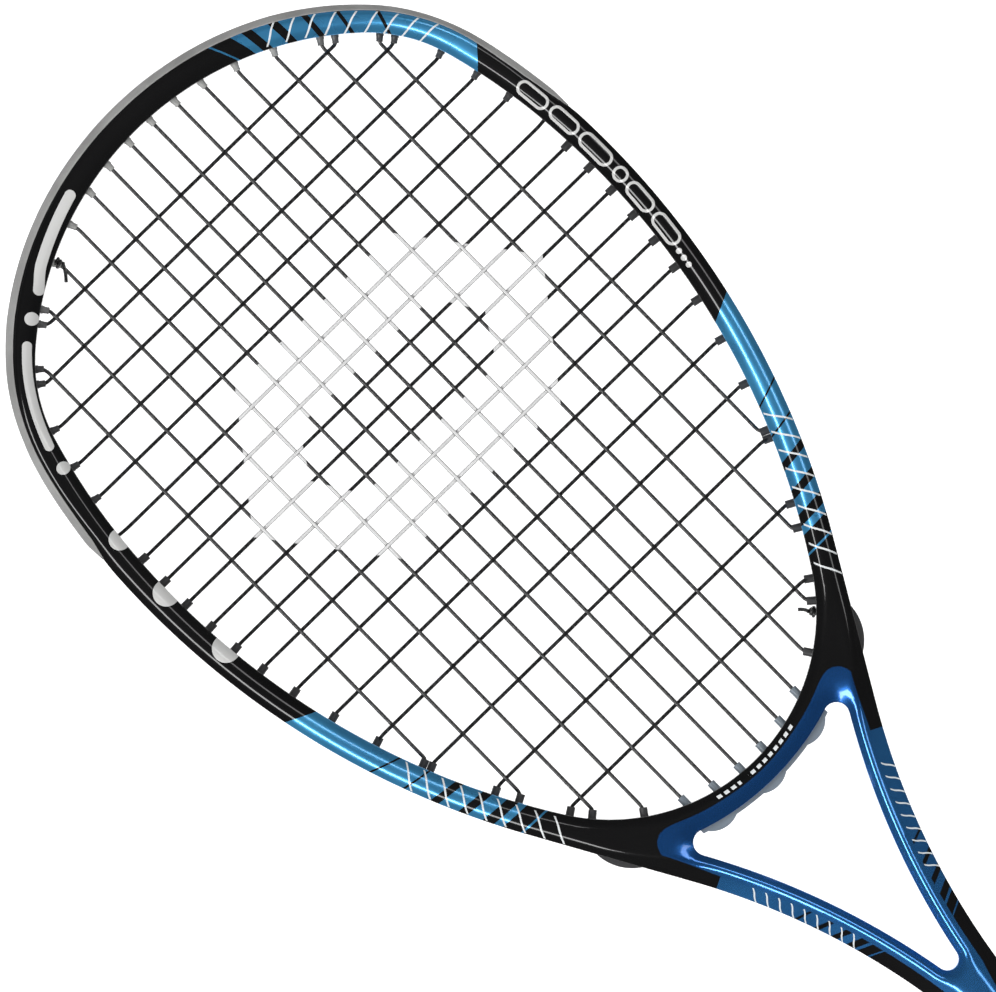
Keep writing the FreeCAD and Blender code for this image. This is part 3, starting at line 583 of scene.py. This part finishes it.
STENCIL_Y = 553.0                      # middle of the stencilled ring, on the centre line
STENCIL_OUTER = (0.764, 66.4, 39.5)    # slope of its slanting sides, their reach across, and half its length
STENCIL_INNER = (0.62, 40.0, 15.5)


def string_plastic():
    m = Paint("string")
    along = m.attribute("along")
    around = m.attribute("around")
    twist = (along * 2.6 + around * math.tau).sin()
    fleck = m.noise(700.0, 4.0)
    shade = twist.ramp(-1.0, 1.0) * fleck.ramp(0.3, 0.7)
    base = m.mix(shade, (0.006, 0.006, 0.0065), (0.034, 0.034, 0.035))
    across, lengthwise = m.x.abs(), (m.y - STENCIL_Y).abs()

    def hexagon(slope, reach, half_length):
        return ((across + lengthwise * slope) < reach) & (lengthwise < half_length)

    ragged = m.noise(420.0, 3.0).ramp(0.3, 0.7, -1.2, 1.2)
    stencil = hexagon(*STENCIL_OUTER) & hexagon(*STENCIL_INNER).inverse() & ((lengthwise + ragged) < 40.0)
    normal = m.tree.nodes.new("ShaderNodeNewGeometry")
    split = m.tree.nodes.new("ShaderNodeSeparateXYZ")
    m.tree.links.new(normal.outputs["Normal"], split.inputs[0])
    front = Sum(m.tree, split.outputs[2]) > 0.6
    worn = m.noise(900.0, 5.0, 0.7).ramp(0.66, 0.74)
    ink = stencil & front & (worn * 0.7).inverse()
    colour = m.mix(ink, base, (0.70, 0.70, 0.70))
    rough = fleck.ramp(0.3, 0.7, 0.26, 0.36) + ink * 0.35
    m.set(colour=colour, rough=rough, gloss=0.6, coat=ink.inverse() * 0.4, coat_rough=0.15)
    m.bump(twist, 0.00003, 0.5).bump(fleck, 0.00001, 0.5)
    return m.material


def grip_skin():
    m = Paint("grip_skin")
    along = m.attribute("along")       # millimetres along the tape
    across = m.attribute("across")     # 0 to 1 across the tape
    pitch, row_width, radius = 3.4, 3.1, 0.42      # of the air holes, in millimetres
    row = across * 7.0
    stagger = (row.floor() * 0.5).fract() * pitch
    u = (((along + stagger) / pitch).fract() - 0.5) * pitch
    v = (row.fract() - 0.5) * row_width
    hole = (u * u + v * v).root() < radius
    hole = hole & across.between(0.14, 0.90)
    grain = m.noise(1600.0, 3.0)
    fine = m.cells(1900.0)
    wear = m.noise(35.0, 4.0).ramp(0.45, 0.7)
    colour = m.mix(wear, (0.012, 0.012, 0.013), (0.030, 0.030, 0.031))
    # painted shade: the air holes are coloured near black, darker than the tape and the foam under it
    colour = m.mix(hole, colour, (0.002, 0.002, 0.002))
    m.set(colour=colour, rough=grain.ramp(0.3, 0.7, 0.58, 0.72) - wear * 0.1, gloss=0.35, sheen=0.15)
    m.bump(fine, 0.00006, 0.5).bump(grain, 0.00003, 0.5).bump(hole.inverse(), 0.0003, 0.8)
    return m.material


def rubber(name, tone, ribs=None):
    m = Paint(name)
    grain = m.noise(1100.0, 4.0)
    dust = m.noise(40.0, 6.0, 0.7).ramp(0.5, 0.8)
    dusty = tuple(c * 1.8 + 0.008 for c in tone)
    m.set(colour=m.mix(dust, tone, dusty), rough=grain.ramp(0.3, 0.7, 0.5, 0.68), gloss=0.35)
    m.bump(grain, 0.00003, 0.6)
    if ribs:
        m.bump((m.y * (math.tau / ribs)).sin(), 0.0003, 0.8)
    return m.material


def foam(name, tone):
    m = Paint(name)
    cells = m.cells(900.0)
    m.set(colour=m.mix(cells.ramp(0.1, 0.6), tone, tuple(c * 0.6 for c in tone)), rough=0.85, gloss=0.2)
    m.bump(cells, 0.0001, 0.7).bump(m.noise(240.0), 0.0001, 0.4)
    return m.material


def steel(name):
    m = Paint(name)
    scratch = m.noise(500.0, 6.0, 0.7)
    m.set(colour=(0.58, 0.58, 0.57), metal=1.0, rough=scratch.ramp(0.3, 0.7, 0.22, 0.4))
    m.bump(scratch, 0.00001, 0.4)
    return m.material


def emblem_finish():
    m = Paint("emblem")
    radius = (m.x * m.x + m.z * m.z).root()
    ring = radius.near(9.0, 0.5) | radius.near(6.2, 0.35)
    turned = (radius * 24.0).sin()
    m.set(colour=m.mix(ring, (0.012, 0.012, 0.013), (0.5, 0.5, 0.5)), metal=ring * 0.8, rough=0.3, gloss=0.5)
    m.bump(turned, 0.00001, 0.5).bump(m.noise(800.0), 0.00001, 0.4)
    return m.material


def finishing_vinyl():
    m = Paint("finishing_vinyl")
    stretch = m.noise(120.0, 4.0, at=m.vector(m.x * 0.001, m.y * 0.006, m.z * 0.001))
    m.set(colour=m.mix(stretch.ramp(0.3, 0.7), (0.010, 0.010, 0.011), (0.02, 0.02, 0.021)),
          rough=stretch.ramp(0.3, 0.7, 0.25, 0.4), gloss=0.5)
    m.bump(stretch, 0.00008, 0.5)
    return m.material


# ---------------------------------------------------------------- frame: rim, arms and shaft

WALL_TOP = 7.35       # height of the outer wall's edge above the middle plane
INNER_TOP = 6.6       # height of the head opening's edge
THROAT_EDGE = 6.3     # height of the throat's edge
CREST = 9.5
ARM_SLOPE = 0.62      # rise of the arm's outer face towards its ridge
THROAT_SLOPES = (0.43, 1.0)     # rise from the throat's edge, on the bridge and on the arms
OUT_RINGS = [4.2, 3.8, 3.4, 3.0, 2.6, 2.2, 1.8, 1.4, 1.0, 0.65, 0.35, 0.12, 0.0]
RIDGE_ROWS = [4.7, 5.1, 5.5, 5.9, 6.3, 6.7, 7.3, 8.2]     # rows of points near the ridge, on the arms
IN_RINGS = [3.2, 2.8, 2.4, 2.0, 1.6, 1.2, 0.85, 0.5, 0.2, 0.0]


def face_height(d, to_head, to_throat, y):
    """Height of the face over a point, from its distance to the outside and to each opening.

    The rim has a crown with a soft edge on each side. Each arm has one ridge, and a slope from it to
    the throat.
    """
    arm = smooth(y, 400, 372)
    dish = (1 - arm) * smooth(y, 262, 300) * (1 - np.exp(-np.clip(d - 4.6, 0, None) / 6))
    wall_top = WALL_TOP - arm * 2.3
    slope = 1 + arm * (ARM_SLOPE - 1)
    outer = soft_min(wall_top + d * slope, CREST - dish + 0.5 * arm, 1.8 - 0.9 * arm)
    rim = soft_min(outer, INNER_TOP + to_head, 1.8)
    on_bridge, on_arms = THROAT_SLOPES
    inner_slope = on_bridge + (on_arms - on_bridge) * smooth(y, 384, 366)
    return soft_min(rim, THROAT_EDGE + 0.45 * arm + inner_slope * to_throat, 1.0 + 0.8 * arm)


def heights(xy, d=None):
    """face_height at points of the plan."""
    if d is None:
        d = distance(xy, OUT)
    return face_height(d, distance(xy, OPEN, True), distance(xy, THROAT, True), xy[:, 1])


# The right half of the throat's blue. It is drawn wide on the arms, where its edge follows the outside.
YOKE_EDGE = [(0, 381.7), (8, 382.2), (15, 383.4), (22, 385.0), (29, 387.4), (34, 389.6), (38.4, 390.6),
             (42.0, 388.6), (43.6, 384.0), (44.0, 376.0), (24, 322.0), (13.6, 299.0), (9.4, 291.0),
             (5.6, 279.0), (2.6, 266.0), (0, 261.0)]


def rounded(points, passes=2):
    """A closed loop with its corners cut off, so that it looks drawn with one stroke."""
    loop = np.array(points, float)
    for _ in range(passes):
        after = np.roll(loop, -1, axis=0)
        loop = np.stack([loop * 0.75 + after * 0.25, loop * 0.25 + after * 0.75], 1).reshape(-1, 2)
    return loop


edge = np.array(YOKE_EDGE, float)
YOKE = rounded(np.vstack([edge, edge[-2:0:-1] * np.array([-1.0, 1.0])]))


def frame_shell():
    n = len(OUT)
    taper = smooth(np.abs(OUT_S), GUARD_REACH + 6, GUARD_REACH - 10)
    groove = smooth(np.abs(OUT_S), GROOVE_REACH + 1.5, GROOVE_REACH - 1.5)

    flat = []                                     # x, y of the top rings, outside first
    for d in OUT_RINGS:
        inset = d + 0.75 * taper * (1 - d / OUT_RINGS[0])
        flat.append(OUT + OUT_IN * inset[:, None])
    open_rings = [OPEN + OPEN_OUT * di for di in IN_RINGS]
    throat_rings = [THROAT + THROAT_OUT * di for di in IN_RINGS]

    # the land between the innermost rings
    outer_ring, open_ring, throat_ring = flat[0], open_rings[0], throat_rings[0]
    xs, ys = np.meshgrid(np.arange(-60, 60.1, 2.2), np.arange(BOTTOM + 2, 426, 2.2))
    xs = xs + 1.1 * (np.arange(len(xs)) % 2)[:, None]
    grid = np.column_stack([xs.ravel(), ys.ravel()])
    ok = inside(grid, outer_ring) & ~inside(grid, open_ring) & ~inside(grid, throat_ring)
    grid = grid[ok]
    grid = grid[distance(grid, OUT) > RIDGE_ROWS[-1] + 0.8]
    rows = [OUT + OUT_IN * d for d in RIDGE_ROWS]
    rows = np.vstack([row[OUT[:, 1] < 408] for row in rows])
    rows = rows[inside(rows, outer_ring) & ~inside(rows, open_ring) & ~inside(rows, throat_ring)]
    grid = np.vstack([grid, rows])
    ok = (distance(grid, outer_ring) > 0.35) & (distance(grid, open_ring, True) > 0.4)
    ok &= distance(grid, throat_ring, True) > 0.4
    grid = grid[ok]
    loops = [outer_ring, open_ring, throat_ring]
    points = np.vstack(loops + [grid])
    edges, start = [], 0
    for loop in loops:
        edges += [(start + k, start + (k + 1) % len(loop)) for k in range(len(loop))]
        start += len(loop)
    found, _, faces, _, _, _ = delaunay_2d_cdt([Vector(p) for p in points], edges, [], 1, 1e-4)
    land = np.array([tuple(v) for v in found])
    middles = np.array([land[list(f)].mean(0) for f in faces])
    ok = inside(middles, outer_ring) & ~inside(middles, open_ring) & ~inside(middles, throat_ring)
    land_faces = [tuple(f) for f, good in zip(faces, ok) if good]

    parts = []

    def lifted(xy, z):
        return np.column_stack([xy, z])

    top = lifted(land, heights(land))
    parts.append((top, land_faces))
    parts.append((top * np.array([1, 1, -1]), [f[::-1] for f in land_faces]))

    # outside: bevel, wall, string groove, and the same below
    profile = []
    for k, xy in enumerate(flat):
        profile.append(lifted(xy, heights(xy, np.full(n, OUT_RINGS[k]))))
    wall = flat[-1]
    floor = OUT + OUT_IN * (2.35 * groove + 0.75 * taper * (1 - groove))[:, None]
    lip = wall * 0.97 + floor * 0.03
    for xy, z in ((wall, 4.9), (wall, 4.1), (wall, 3.35), (lip, 3.22), (floor, 3.15), (floor, 1.6)):
        profile.append(lifted(xy, np.full(n, z)))
    whole = profile + [p * np.array([1, 1, -1]) for p in profile[::-1]]
    parts.append((np.vstack(whole), grid_faces(len(whole), n)))

    # inside walls of the head opening and the throat
    for rings in (open_rings, throat_rings):
        count = len(rings[0])
        profile = []
        for xy in rings:
            profile.append(lifted(xy, heights(xy)))
        for z in (5.2, 3.9, 2.0, 0.0):
            profile.append(lifted(rings[-1], np.full(count, z)))
        whole = profile + [p * np.array([1, 1, -1]) for p in profile[-2::-1]]
        parts.append((np.vstack(whole), grid_faces(len(whole), count, wrap_columns=True)))

    verts, faces = join_parts(parts)
    obj = make_object("frame_shell", verts * MM, faces)
    tidy_normals(obj)
    close_holes(obj.data)
    xyz = np.array([v.co[:] for v in obj.data.vertices]) / MM
    xy = xyz[:, :2]
    add_attributes(obj.data, {
        "along": np.abs(along_outline(xy)),
        "from_outside": distance(xy, OUT),
        "from_head": distance(xy, OPEN, True),
        "yoke": distance(xy, YOKE, True) * np.where(inside(xy, YOKE), -1, 1),
    })
    obj.data.materials.append(frame_paint())
    smooth_faces(obj.data)
    return obj


# ---------------------------------------------------------------- bumper guard

# Along the outline from the tip: how far in the guard reaches and how far it stands out, on each side.
GUARD_S = [0, 20, 40, 60, 80, 100, 120, 140, 150, 160, 167]
GUARD_LEFT = [2.8, 2.55, 2.05, 1.55, 1.3, 1.6, 1.95, 2.0, 1.8, 1.5, 0.4]
GUARD_RIGHT = [2.8, 2.65, 2.3, 1.9, 1.5, 1.4, 1.7, 2.3, 2.0, 1.2, 0.4]
PROUD_LEFT = [0.0, 0.15, 0.6, 1.05, 1.4, 1.0, 0.45, 0.65, 0.85, 1.05, 0.0]
PROUD_RIGHT = [0.0, 0.0, 0.3, 0.65, 0.65, 0.5, 0.1, 0.0, 0.25, 0.5, 0.0]


def bumper():
    ok = np.abs(OUT_S) <= GUARD_REACH
    points, normals, s = OUT[ok], OUT_IN[ok], OUT_S[ok]
    width = np.where(s > 0, np.interp(s, GUARD_S, GUARD_RIGHT), np.interp(-s, GUARD_S, GUARD_LEFT))
    proud = np.where(s > 0, np.interp(s, GUARD_S, PROUD_RIGHT), np.interp(-s, GUARD_S, PROUD_LEFT))
    fade = smooth(GUARD_REACH - np.abs(s), 0, 9)
    rise = 0.15 + 0.35 * fade
    one = np.ones(len(s))

    def ring(d, z):
        return np.column_stack([points + normals * np.asarray(d)[:, None], z])

    def over(part, extra):
        """A row on the face, at part of the way in from the guard's outer edge."""
        d = width * part - proud * (1 - part)
        return ring(d, heights(points + normals * d[:, None], d) + extra)

    rows = [over(1.0, -0.6), over(1.0, rise * 0.45), over(0.97, rise * 0.8), over(0.92, rise)]
    for part in (0.8, 0.6, 0.4, 0.22, 0.1):
        rows.append(over(part, rise * (0.6 + 0.4 * part)))
    channel = 1.45 * fade
    for inset, z in ((0.05, 6.4), (0.0, 5.4), (0.0, 3.4), (0.0, 2.0), (0.12, 1.75)):
        rows.append(ring(inset - proud, (z - proud * z / 6.4) * one))
    rows += [ring(channel, 1.5 * one), ring(channel, 0.0 * one)]
    whole = rows + [r * np.array([1, 1, -1]) for r in rows[-2::-1]]
    for least, z in ((0.9, 5.0), (2.0, 0.0), (0.9, -5.0)):
        whole.append(ring(np.maximum(width - 0.1, least), z * one))
    obj = make_object("bumper", np.vstack(whole) * MM, grid_faces(len(whole), len(s), wrap_rows=True))
    close_holes(obj.data)
    obj.data.materials.append(bumper_plastic())
    smooth_faces(obj.data)
    return obj


# ---------------------------------------------------------------- strings

MAINS = [-76.8, -62.3, -49.1, -36.8, -25.6, -15.2, -5.0, 5.0, 15.2, 25.6, 36.8, 49.1, 62.3, 76.8]
CROSSES = [650, 636.7, 623.2, 610.2, 597.8, 584, 573, 562.8, 552.5, 541.7, 531, 520, 507.3, 492.6, 476.8,
           458.6, 438.3, 416.6]
STRING_R = 0.64
WEAVE = 0.6                # height of the string over a crossing
STRAIGHT_HOLE = 30.0       # mains nearer the centre line than this leave the head straight
STAND = 2.9                # how far the grommet barrels stand out of the rim
LOOP_DEPTH = 0.76          # from the outside to the string's turns in the groove


def throat_floor(x):
    """Where a string that turns below the bridge lies, along the top of the throat."""
    count = TOP_ARC_STEPS + 1
    return np.interp(x, throat_half[:count, 0], throat_half[:count, 1]) - 1.15


def string_end(along_x, at, positive):
    """Mouth of a grommet for a string, and where the string meets the groove outside."""
    mouths = OPEN - OPEN_OUT * STAND
    axis = 0 if along_x else 1                   # the coordinate that the string keeps
    other = 1 - axis
    after = np.roll(mouths, -1, axis=0)
    best = None
    for k in range(len(mouths)):
        a, b = mouths[k], after[k]
        if (a[axis] - at) * (b[axis] - at) > 0 or a[axis] == b[axis]:
            continue
        t = (at - a[axis]) / (b[axis] - a[axis])
        point = a + (b - a) * t
        reach = point[other] if positive else -point[other]
        if best is None or reach > best[0]:
            best = (reach, point, OPEN_OUT[k])
    _, mouth, ahead = best
    straight = along_x and abs(at) < STRAIGHT_HOLE
    if straight:
        ahead = np.array([0.0, 1.0 if positive else -1.0])
    if straight and not positive:
        return mouth, np.array([mouth[0], throat_floor(abs(mouth[0]))])
    line = OUT + OUT_IN * LOOP_DEPTH
    steps = mouth + ahead * np.arange(2, 60, 0.25)[:, None]
    gaps = distance(steps, line)
    first = np.argmax(gaps < 0.3) if (gaps < 0.3).any() else gaps.argmin()
    return mouth, steps[first]


def loop_between(a, b, in_throat):
    """The string's path between two holes, along the bottom of the groove."""
    if in_throat:
        xs = np.linspace(a[0], b[0], 9)[1:-1]
        return np.column_stack([xs, throat_floor(np.abs(xs))])
    sa, sb = along_outline(np.array([a, b]))
    ss = np.linspace(sa, sb, max(4, int(abs(sb - sa) / 1.5)))[1:-1]
    xs = np.interp(ss, OUT_S, (OUT + OUT_IN * LOOP_DEPTH)[:, 0])
    ys = np.interp(ss, OUT_S, (OUT + OUT_IN * LOOP_DEPTH)[:, 1])
    return np.column_stack([xs, ys])


def woven(start, end, stations, first_sign, axis):
    """Straight run in plan that passes over and under at each station."""
    length = np.linalg.norm(end - start)
    count = max(8, int(length / 1.3))
    line = start + (end - start) * np.linspace(0, 1, count)[:, None]
    place = line[:, axis]
    order = np.argsort(stations)
    knots = np.asarray(stations, float)[order]
    signs = first_sign * (-1.0) ** np.arange(len(stations))[order]
    heights = np.zeros(count)
    for k, q in enumerate(place):
        right = np.searchsorted(knots, q)
        if right == 0 or right == len(knots):
            edge = 0 if right == 0 else -1
            reach = abs(q - knots[edge])
            heights[k] = signs[edge] * WEAVE * math.exp(-(reach / 7.0) ** 2)
            continue
        t = (q - knots[right - 1]) / (knots[right] - knots[right - 1])
        mix = 0.5 - 0.5 * math.cos(math.pi * t)
        heights[k] = WEAVE * (signs[right - 1] * (1 - mix) + signs[right] * mix)
    return np.column_stack([line, heights])


def flat_run(points):
    points = np.asarray(points, float)
    return np.column_stack([points, np.zeros(len(points))])


def between(a, b, gap=1.2):
    count = max(2, int(np.linalg.norm(b - a) / gap))
    return a + (b - a) * np.linspace(0, 1, count, endpoint=False)[:, None]


def string_tube(name, path, material):
    path = np.array(path)
    step = np.linalg.norm(np.diff(path, axis=0), axis=1)
    path = path[np.concatenate([[True], step > 0.05])]
    for _ in range(2):
        path[1:-1] = path[1:-1] * 0.5 + (path[:-2] + path[2:]) * 0.25
    sides = 12
    verts, faces = tube(path, STRING_R, sides)
    run = np.concatenate([[0], np.cumsum(np.linalg.norm(np.diff(path, axis=0), axis=1))])
    along = np.concatenate([np.repeat(run, sides), [run[0], run[-1]]])
    around = np.concatenate([np.tile(np.arange(sides) / sides, len(path)), [0, 0]])
    return make_object(name, verts * MM, faces, material, {"along": along, "around": around})


def strings():
    plastic = string_plastic()
    ends = [(string_end(True, x, True), string_end(True, x, False)) for x in MAINS]
    path = []
    for k, (top, bottom) in enumerate(ends):
        sign = 1.0 if k % 2 else -1.0
        down = k % 2 == 0
        first, last = (top, bottom) if down else (bottom, top)
        run = woven(first[0], last[0], CROSSES, sign, 1)
        path += list(flat_run(between(first[1], first[0]))) + list(run)
        path += list(flat_run(between(last[0], last[1]))) + list(flat_run([last[1]]))
        if k + 1 < len(ends):
            following = ends[k + 1]
            start = (following[1] if down else following[0])[1]
            in_throat = down and abs(MAINS[k]) < STRAIGHT_HOLE and abs(MAINS[k + 1]) < STRAIGHT_HOLE
            path += list(flat_run(loop_between(last[1], start, in_throat)))
    mains = string_tube("mains", path, plastic)

    ends = [(string_end(False, y, False), string_end(False, y, True)) for y in CROSSES]
    path = []
    for k, (left, right) in enumerate(ends):
        rightward = k % 2 == 0
        first, last = (left, right) if rightward else (right, left)
        sign = 1.0 if rightward else -1.0
        run = woven(first[0], last[0], MAINS, sign, 0)
        path += list(flat_run(between(first[1], first[0]))) + list(run)
        path += list(flat_run(between(last[0], last[1]))) + list(flat_run([last[1]]))
        if k + 1 < len(ends):
            following = ends[k + 1]
            start = (following[1] if rightward else following[0])[1]
            path += list(flat_run(loop_between(last[1], start, False)))
    crosses = string_tube("crosses", path, plastic)
    return mains, crosses, plastic


def knot(centre, down, tail, material, name):
    """Two turns round the string next to its grommet, and a cut tail."""
    path = []
    turns = np.linspace(0, 2.1 * 2 * math.pi, 34)
    side = np.array([-down[1], down[0]])
    for a in turns:
        drift = -1.2 + 2.4 * a / turns[-1]
        p = centre + down * drift + side * 1.15 * math.cos(a)
        path.append((p[0], p[1], 1.15 * math.sin(a)))
    last = np.array(path[-1])
    goal = np.array([tail[0], tail[1], 0.9])
    for t in np.linspace(0.12, 1, 9):
        sway = math.sin(t * 3.0) * 0.35
        q = last + (goal - last) * t
        path.append((q[0] + sway, q[1], q[2]))
    verts, faces = tube(path, 0.6)
    zeros = np.zeros(len(verts))
    return make_object(name, verts * MM, faces, material, {"along": zeros, "around": zeros})


# ---------------------------------------------------------------- grommets under the guard

BOOT = [(-1.2, 1.2), (0.0, 1.25), (0.3, 1.42), (0.8, 1.2), (2.0, 1.08), (2.3, 1.16), (2.6, 1.08), (2.65, 0.9),
        (2.5, 0.7), (1.0, 0.69)]       # from the wall towards the string: distance and radius


def boots(ends):
    """One moulded boot round each string that passes under the guard."""
    parts, sides = [], 20
    angles = np.arange(sides) * 2 * math.pi / sides
    for mouth, leave in ends:
        ahead = (mouth - leave) / np.linalg.norm(mouth - leave)
        side = np.array([-ahead[1], ahead[0]])
        wall = mouth - ahead * STAND
        rings = []
        for reach, radius in BOOT:
            middle = wall + ahead * reach
            for a in angles:
                xy = middle + side * radius * math.cos(a)
                rings.append((xy[0], xy[1], radius * math.sin(a)))
        parts.append((np.array(rings), grid_faces(len(BOOT), sides, wrap_columns=True)))
    verts, faces = join_parts(parts)
    return make_object("tip_grommets", verts * MM, faces)


# ---------------------------------------------------------------- grip

GRIP_PITCH = 21.0          # along the handle from one turn of the tape to the next
TAPE_RUN = 96.0            # of the tape in one turn


def grip_tape():
    low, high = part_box("grip_wrap")
    low, high = np.array(low) / MM, np.array(high) / MM
    y0, y1 = low[1], high[1]
    half_x, half_z = high[0] - 0.05, high[2] - 0.05
    sides = 112
    ys = np.linspace(y0, y1, int((y1 - y0) / 0.55))
    angles = np.arange(sides) * 2 * math.pi / sides
    y, a = np.meshgrid(ys, angles, indexing="ij")
    c, sn = np.cos(a), np.sin(a)
    power = 3.4                       # a rectangle with well rounded corners
    reach = ((np.abs(c) / half_x) ** power + (np.abs(sn) / half_z) ** power) ** (-1 / power)
    turn = (y - y0) / GRIP_PITCH - a / (2 * math.pi)
    part = turn - np.floor(turn)
    step = 0.55 * (smooth(part, 0.0, 0.035) - 0.75 * smooth(part, 0.55, 1.0))
    pad = 0.18 * np.sin(math.pi * part)
    ends = 0.6 * smooth(y, y0 + 1.5, y0) + 0.7 * smooth(y, y1 - 1.5, y1)
    reach = reach - (0.62 - step - pad) - ends
    verts = np.stack([reach * c, y, reach * sn], 2).reshape(-1, 3)
    along = ((np.floor(turn) + a / (2 * math.pi)) * TAPE_RUN).ravel()
    across = part.ravel()
    faces = grid_faces(len(ys), sides, wrap_columns=True)
    count = len(ys) * sides
    faces.append(tuple(range(sides))[::-1])
    faces.append(tuple(range(count - sides, count)))
    return make_object("grip_tape", verts * MM, faces, grip_skin(), {"along": along, "across": across})


# ---------------------------------------------------------------- build

shell = frame_shell()
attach(shell, "root")
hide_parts("frame_tube", "throat_bridge")

guard = bumper()
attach(guard, "root")
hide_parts("bumper_guard")

mains, crosses, string_material = strings()
for piece, node in ((mains, "main_string"), (crosses, "cross_string")):
    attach(piece, "root")
    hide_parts(node)

KNOTS = [((-49.4, 662.0), (0.05, -1.0), (-52.0, 655.8)), ((48.2, 407.2), (-0.1, 1.0), (45.0, 411.0))]
for number, (centre, down, tail) in enumerate(KNOTS, 1):
    down = np.array(down) / np.linalg.norm(down)
    piece = knot(np.array(centre), down, tail, string_material, f"knot_{number}")
    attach(piece, "root")

top_ends = [string_end(True, x, True) for x in MAINS]
GUARDED_Y = 584.5          # strings above this pass under the guard
side_ends = [string_end(False, y, positive) for y in CROSSES if y > GUARDED_Y for positive in (False, True)]
boot_piece = boots(top_ends + side_ends)
boot_piece.data.materials.append(
    grommet_plastic("tip_grommet_nylon", (0.06, 0.06, 0.062), (0.42, 0.42, 0.41), (648.0, 664.0)))
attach(boot_piece, "root")

tape = grip_tape()
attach(tape, "root")
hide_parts("grip_wrap")


def refinish(node, material):
    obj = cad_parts[node]
    for place in obj.material_slots:
        place.material = material


side_plastic = grommet_plastic("side_grommets", (0.05, 0.05, 0.052), (0.30, 0.30, 0.30), (640.0, 668.0))
refinish("grommet_strip_left", side_plastic)
refinish("grommet_strip_right", side_plastic)
refinish("grommet_strip_bridge", grommet_plastic("bridge_grommets", (0.10, 0.12, 0.14), (0.20, 0.24, 0.28)))
refinish("butt_cap", rubber("cap_rubber", (0.012, 0.012, 0.013)))
refinish("grip_collar", rubber("collar_rubber", (0.010, 0.010, 0.011), ribs=3.0))
refinish("finishing_tape", finishing_vinyl())
refinish("grip_underlay", foam("underlay_foam", (0.06, 0.06, 0.065)))
refinish("handle_pallet_front", foam("pallet_foam", (0.42, 0.37, 0.27)))
refinish("handle_pallet_back", foam("pallet_foam_back", (0.42, 0.37, 0.27)))
refinish("butt_cap_nails", steel("nail_steel"))
refinish("grip_staple", steel("staple_steel"))
refinish("butt_emblem", emblem_finish())


# ---------------------------------------------------------------- stage

def studio_floor():
    m = Paint("studio_floor")
    cloud = m.noise(1.5, 2.0)
    m.set(colour=m.mix(cloud, (0.93, 0.93, 0.93), (0.95, 0.95, 0.95)), rough=0.9, gloss=0.0)
    m.plug((1.0, 1.0, 1.0), m.shader.inputs["Emission Color"])
    m.plug(0.62, m.shader.inputs["Emission Strength"])
    ring, radius, middle_y, depth = 64, 6.0, 0.35, -0.9
    verts = [(0, middle_y, depth)]
    for angle in np.arange(ring) * math.tau / ring:
        verts.append((radius * math.cos(angle), middle_y + radius * math.sin(angle), depth))
    faces = [(0, 1 + k, 1 + (k + 1) % ring) for k in range(ring)]
    floor = make_object("floor", np.array(verts), faces, m.material)


def softbox(name, place, aim, size, power):
    light = bpy.data.lights.new(name, "AREA")
    light.shape = "RECTANGLE"
    light.size, light.size_y = size
    light.energy = power
    obj = bpy.data.objects.new(name, light)
    bpy.context.scene.collection.objects.link(obj)
    obj.location = place
    obj.rotation_mode = "QUATERNION"
    obj.rotation_quaternion = (Vector(aim) - Vector(place)).to_track_quat("-Z", "Y")
    return obj


def studio():
    studio_floor()
    target = (0.0, 0.5, 0.0)
    for name, place, size, power in (("left", (-1.65, 0.5, 1.85), (2.2, 0.55), 42),
                                     ("right", (1.65, 0.5, 1.85), (2.2, 0.5), 13)):
        softbox(name, place, target, size, power)
    fill = softbox("fill", (0.0, 0.5, 2.6), target, (2.4, 2.4), 38)
    fill.visible_glossy = False       # soft light with no reflection of its own
    world = bpy.data.worlds.new("studio")
    bpy.context.scene.world = world
    world.use_nodes = True
    tree = world.node_tree
    back = tree.nodes["Background"]
    coordinates = tree.nodes.new("ShaderNodeTexCoord")
    split = tree.nodes.new("ShaderNodeSeparateXYZ")
    tree.links.new(coordinates.outputs["Generated"], split.inputs[0])
    level = Sum(tree, split.outputs[2]).ramp(-0.35, -0.1, 0.85, 0.05)
    tree.links.new(level.socket, back.inputs["Strength"])
    back.inputs["Color"].default_value = (1, 1, 1, 1)


studio()

# A long lens far above. The racket lies across the view from the tip, top left, to the throat, bottom right.
LEAN = math.radians(44.30)             # from the shaft to the view's upright axis, towards the racket's right
RIGHT = Vector((math.cos(LEAN), -math.sin(LEAN), 0.0))
UP = Vector((math.sin(LEAN), math.cos(LEAN), 0.0))
SENSOR = 0.036
VIEW_WIDTH = 0.3273                    # of the plane through the strings, in metres
camera_data = bpy.data.cameras.new("camera")
camera_data.sensor_width = SENSOR * 1000
camera_data.lens = 500.0
camera = bpy.data.objects.new("camera", camera_data)
bpy.context.scene.collection.objects.link(camera)
turned = Matrix((RIGHT, UP, RIGHT.cross(UP))).transposed().to_4x4()
height = VIEW_WIDTH * camera_data.lens / (SENSOR * 1000)
camera.matrix_world = Matrix.Translation((0.0006, 0.5065, height)) @ turned
bpy.context.scene.camera = camera
bpy.context.scene.view_settings.view_transform = "Standard"
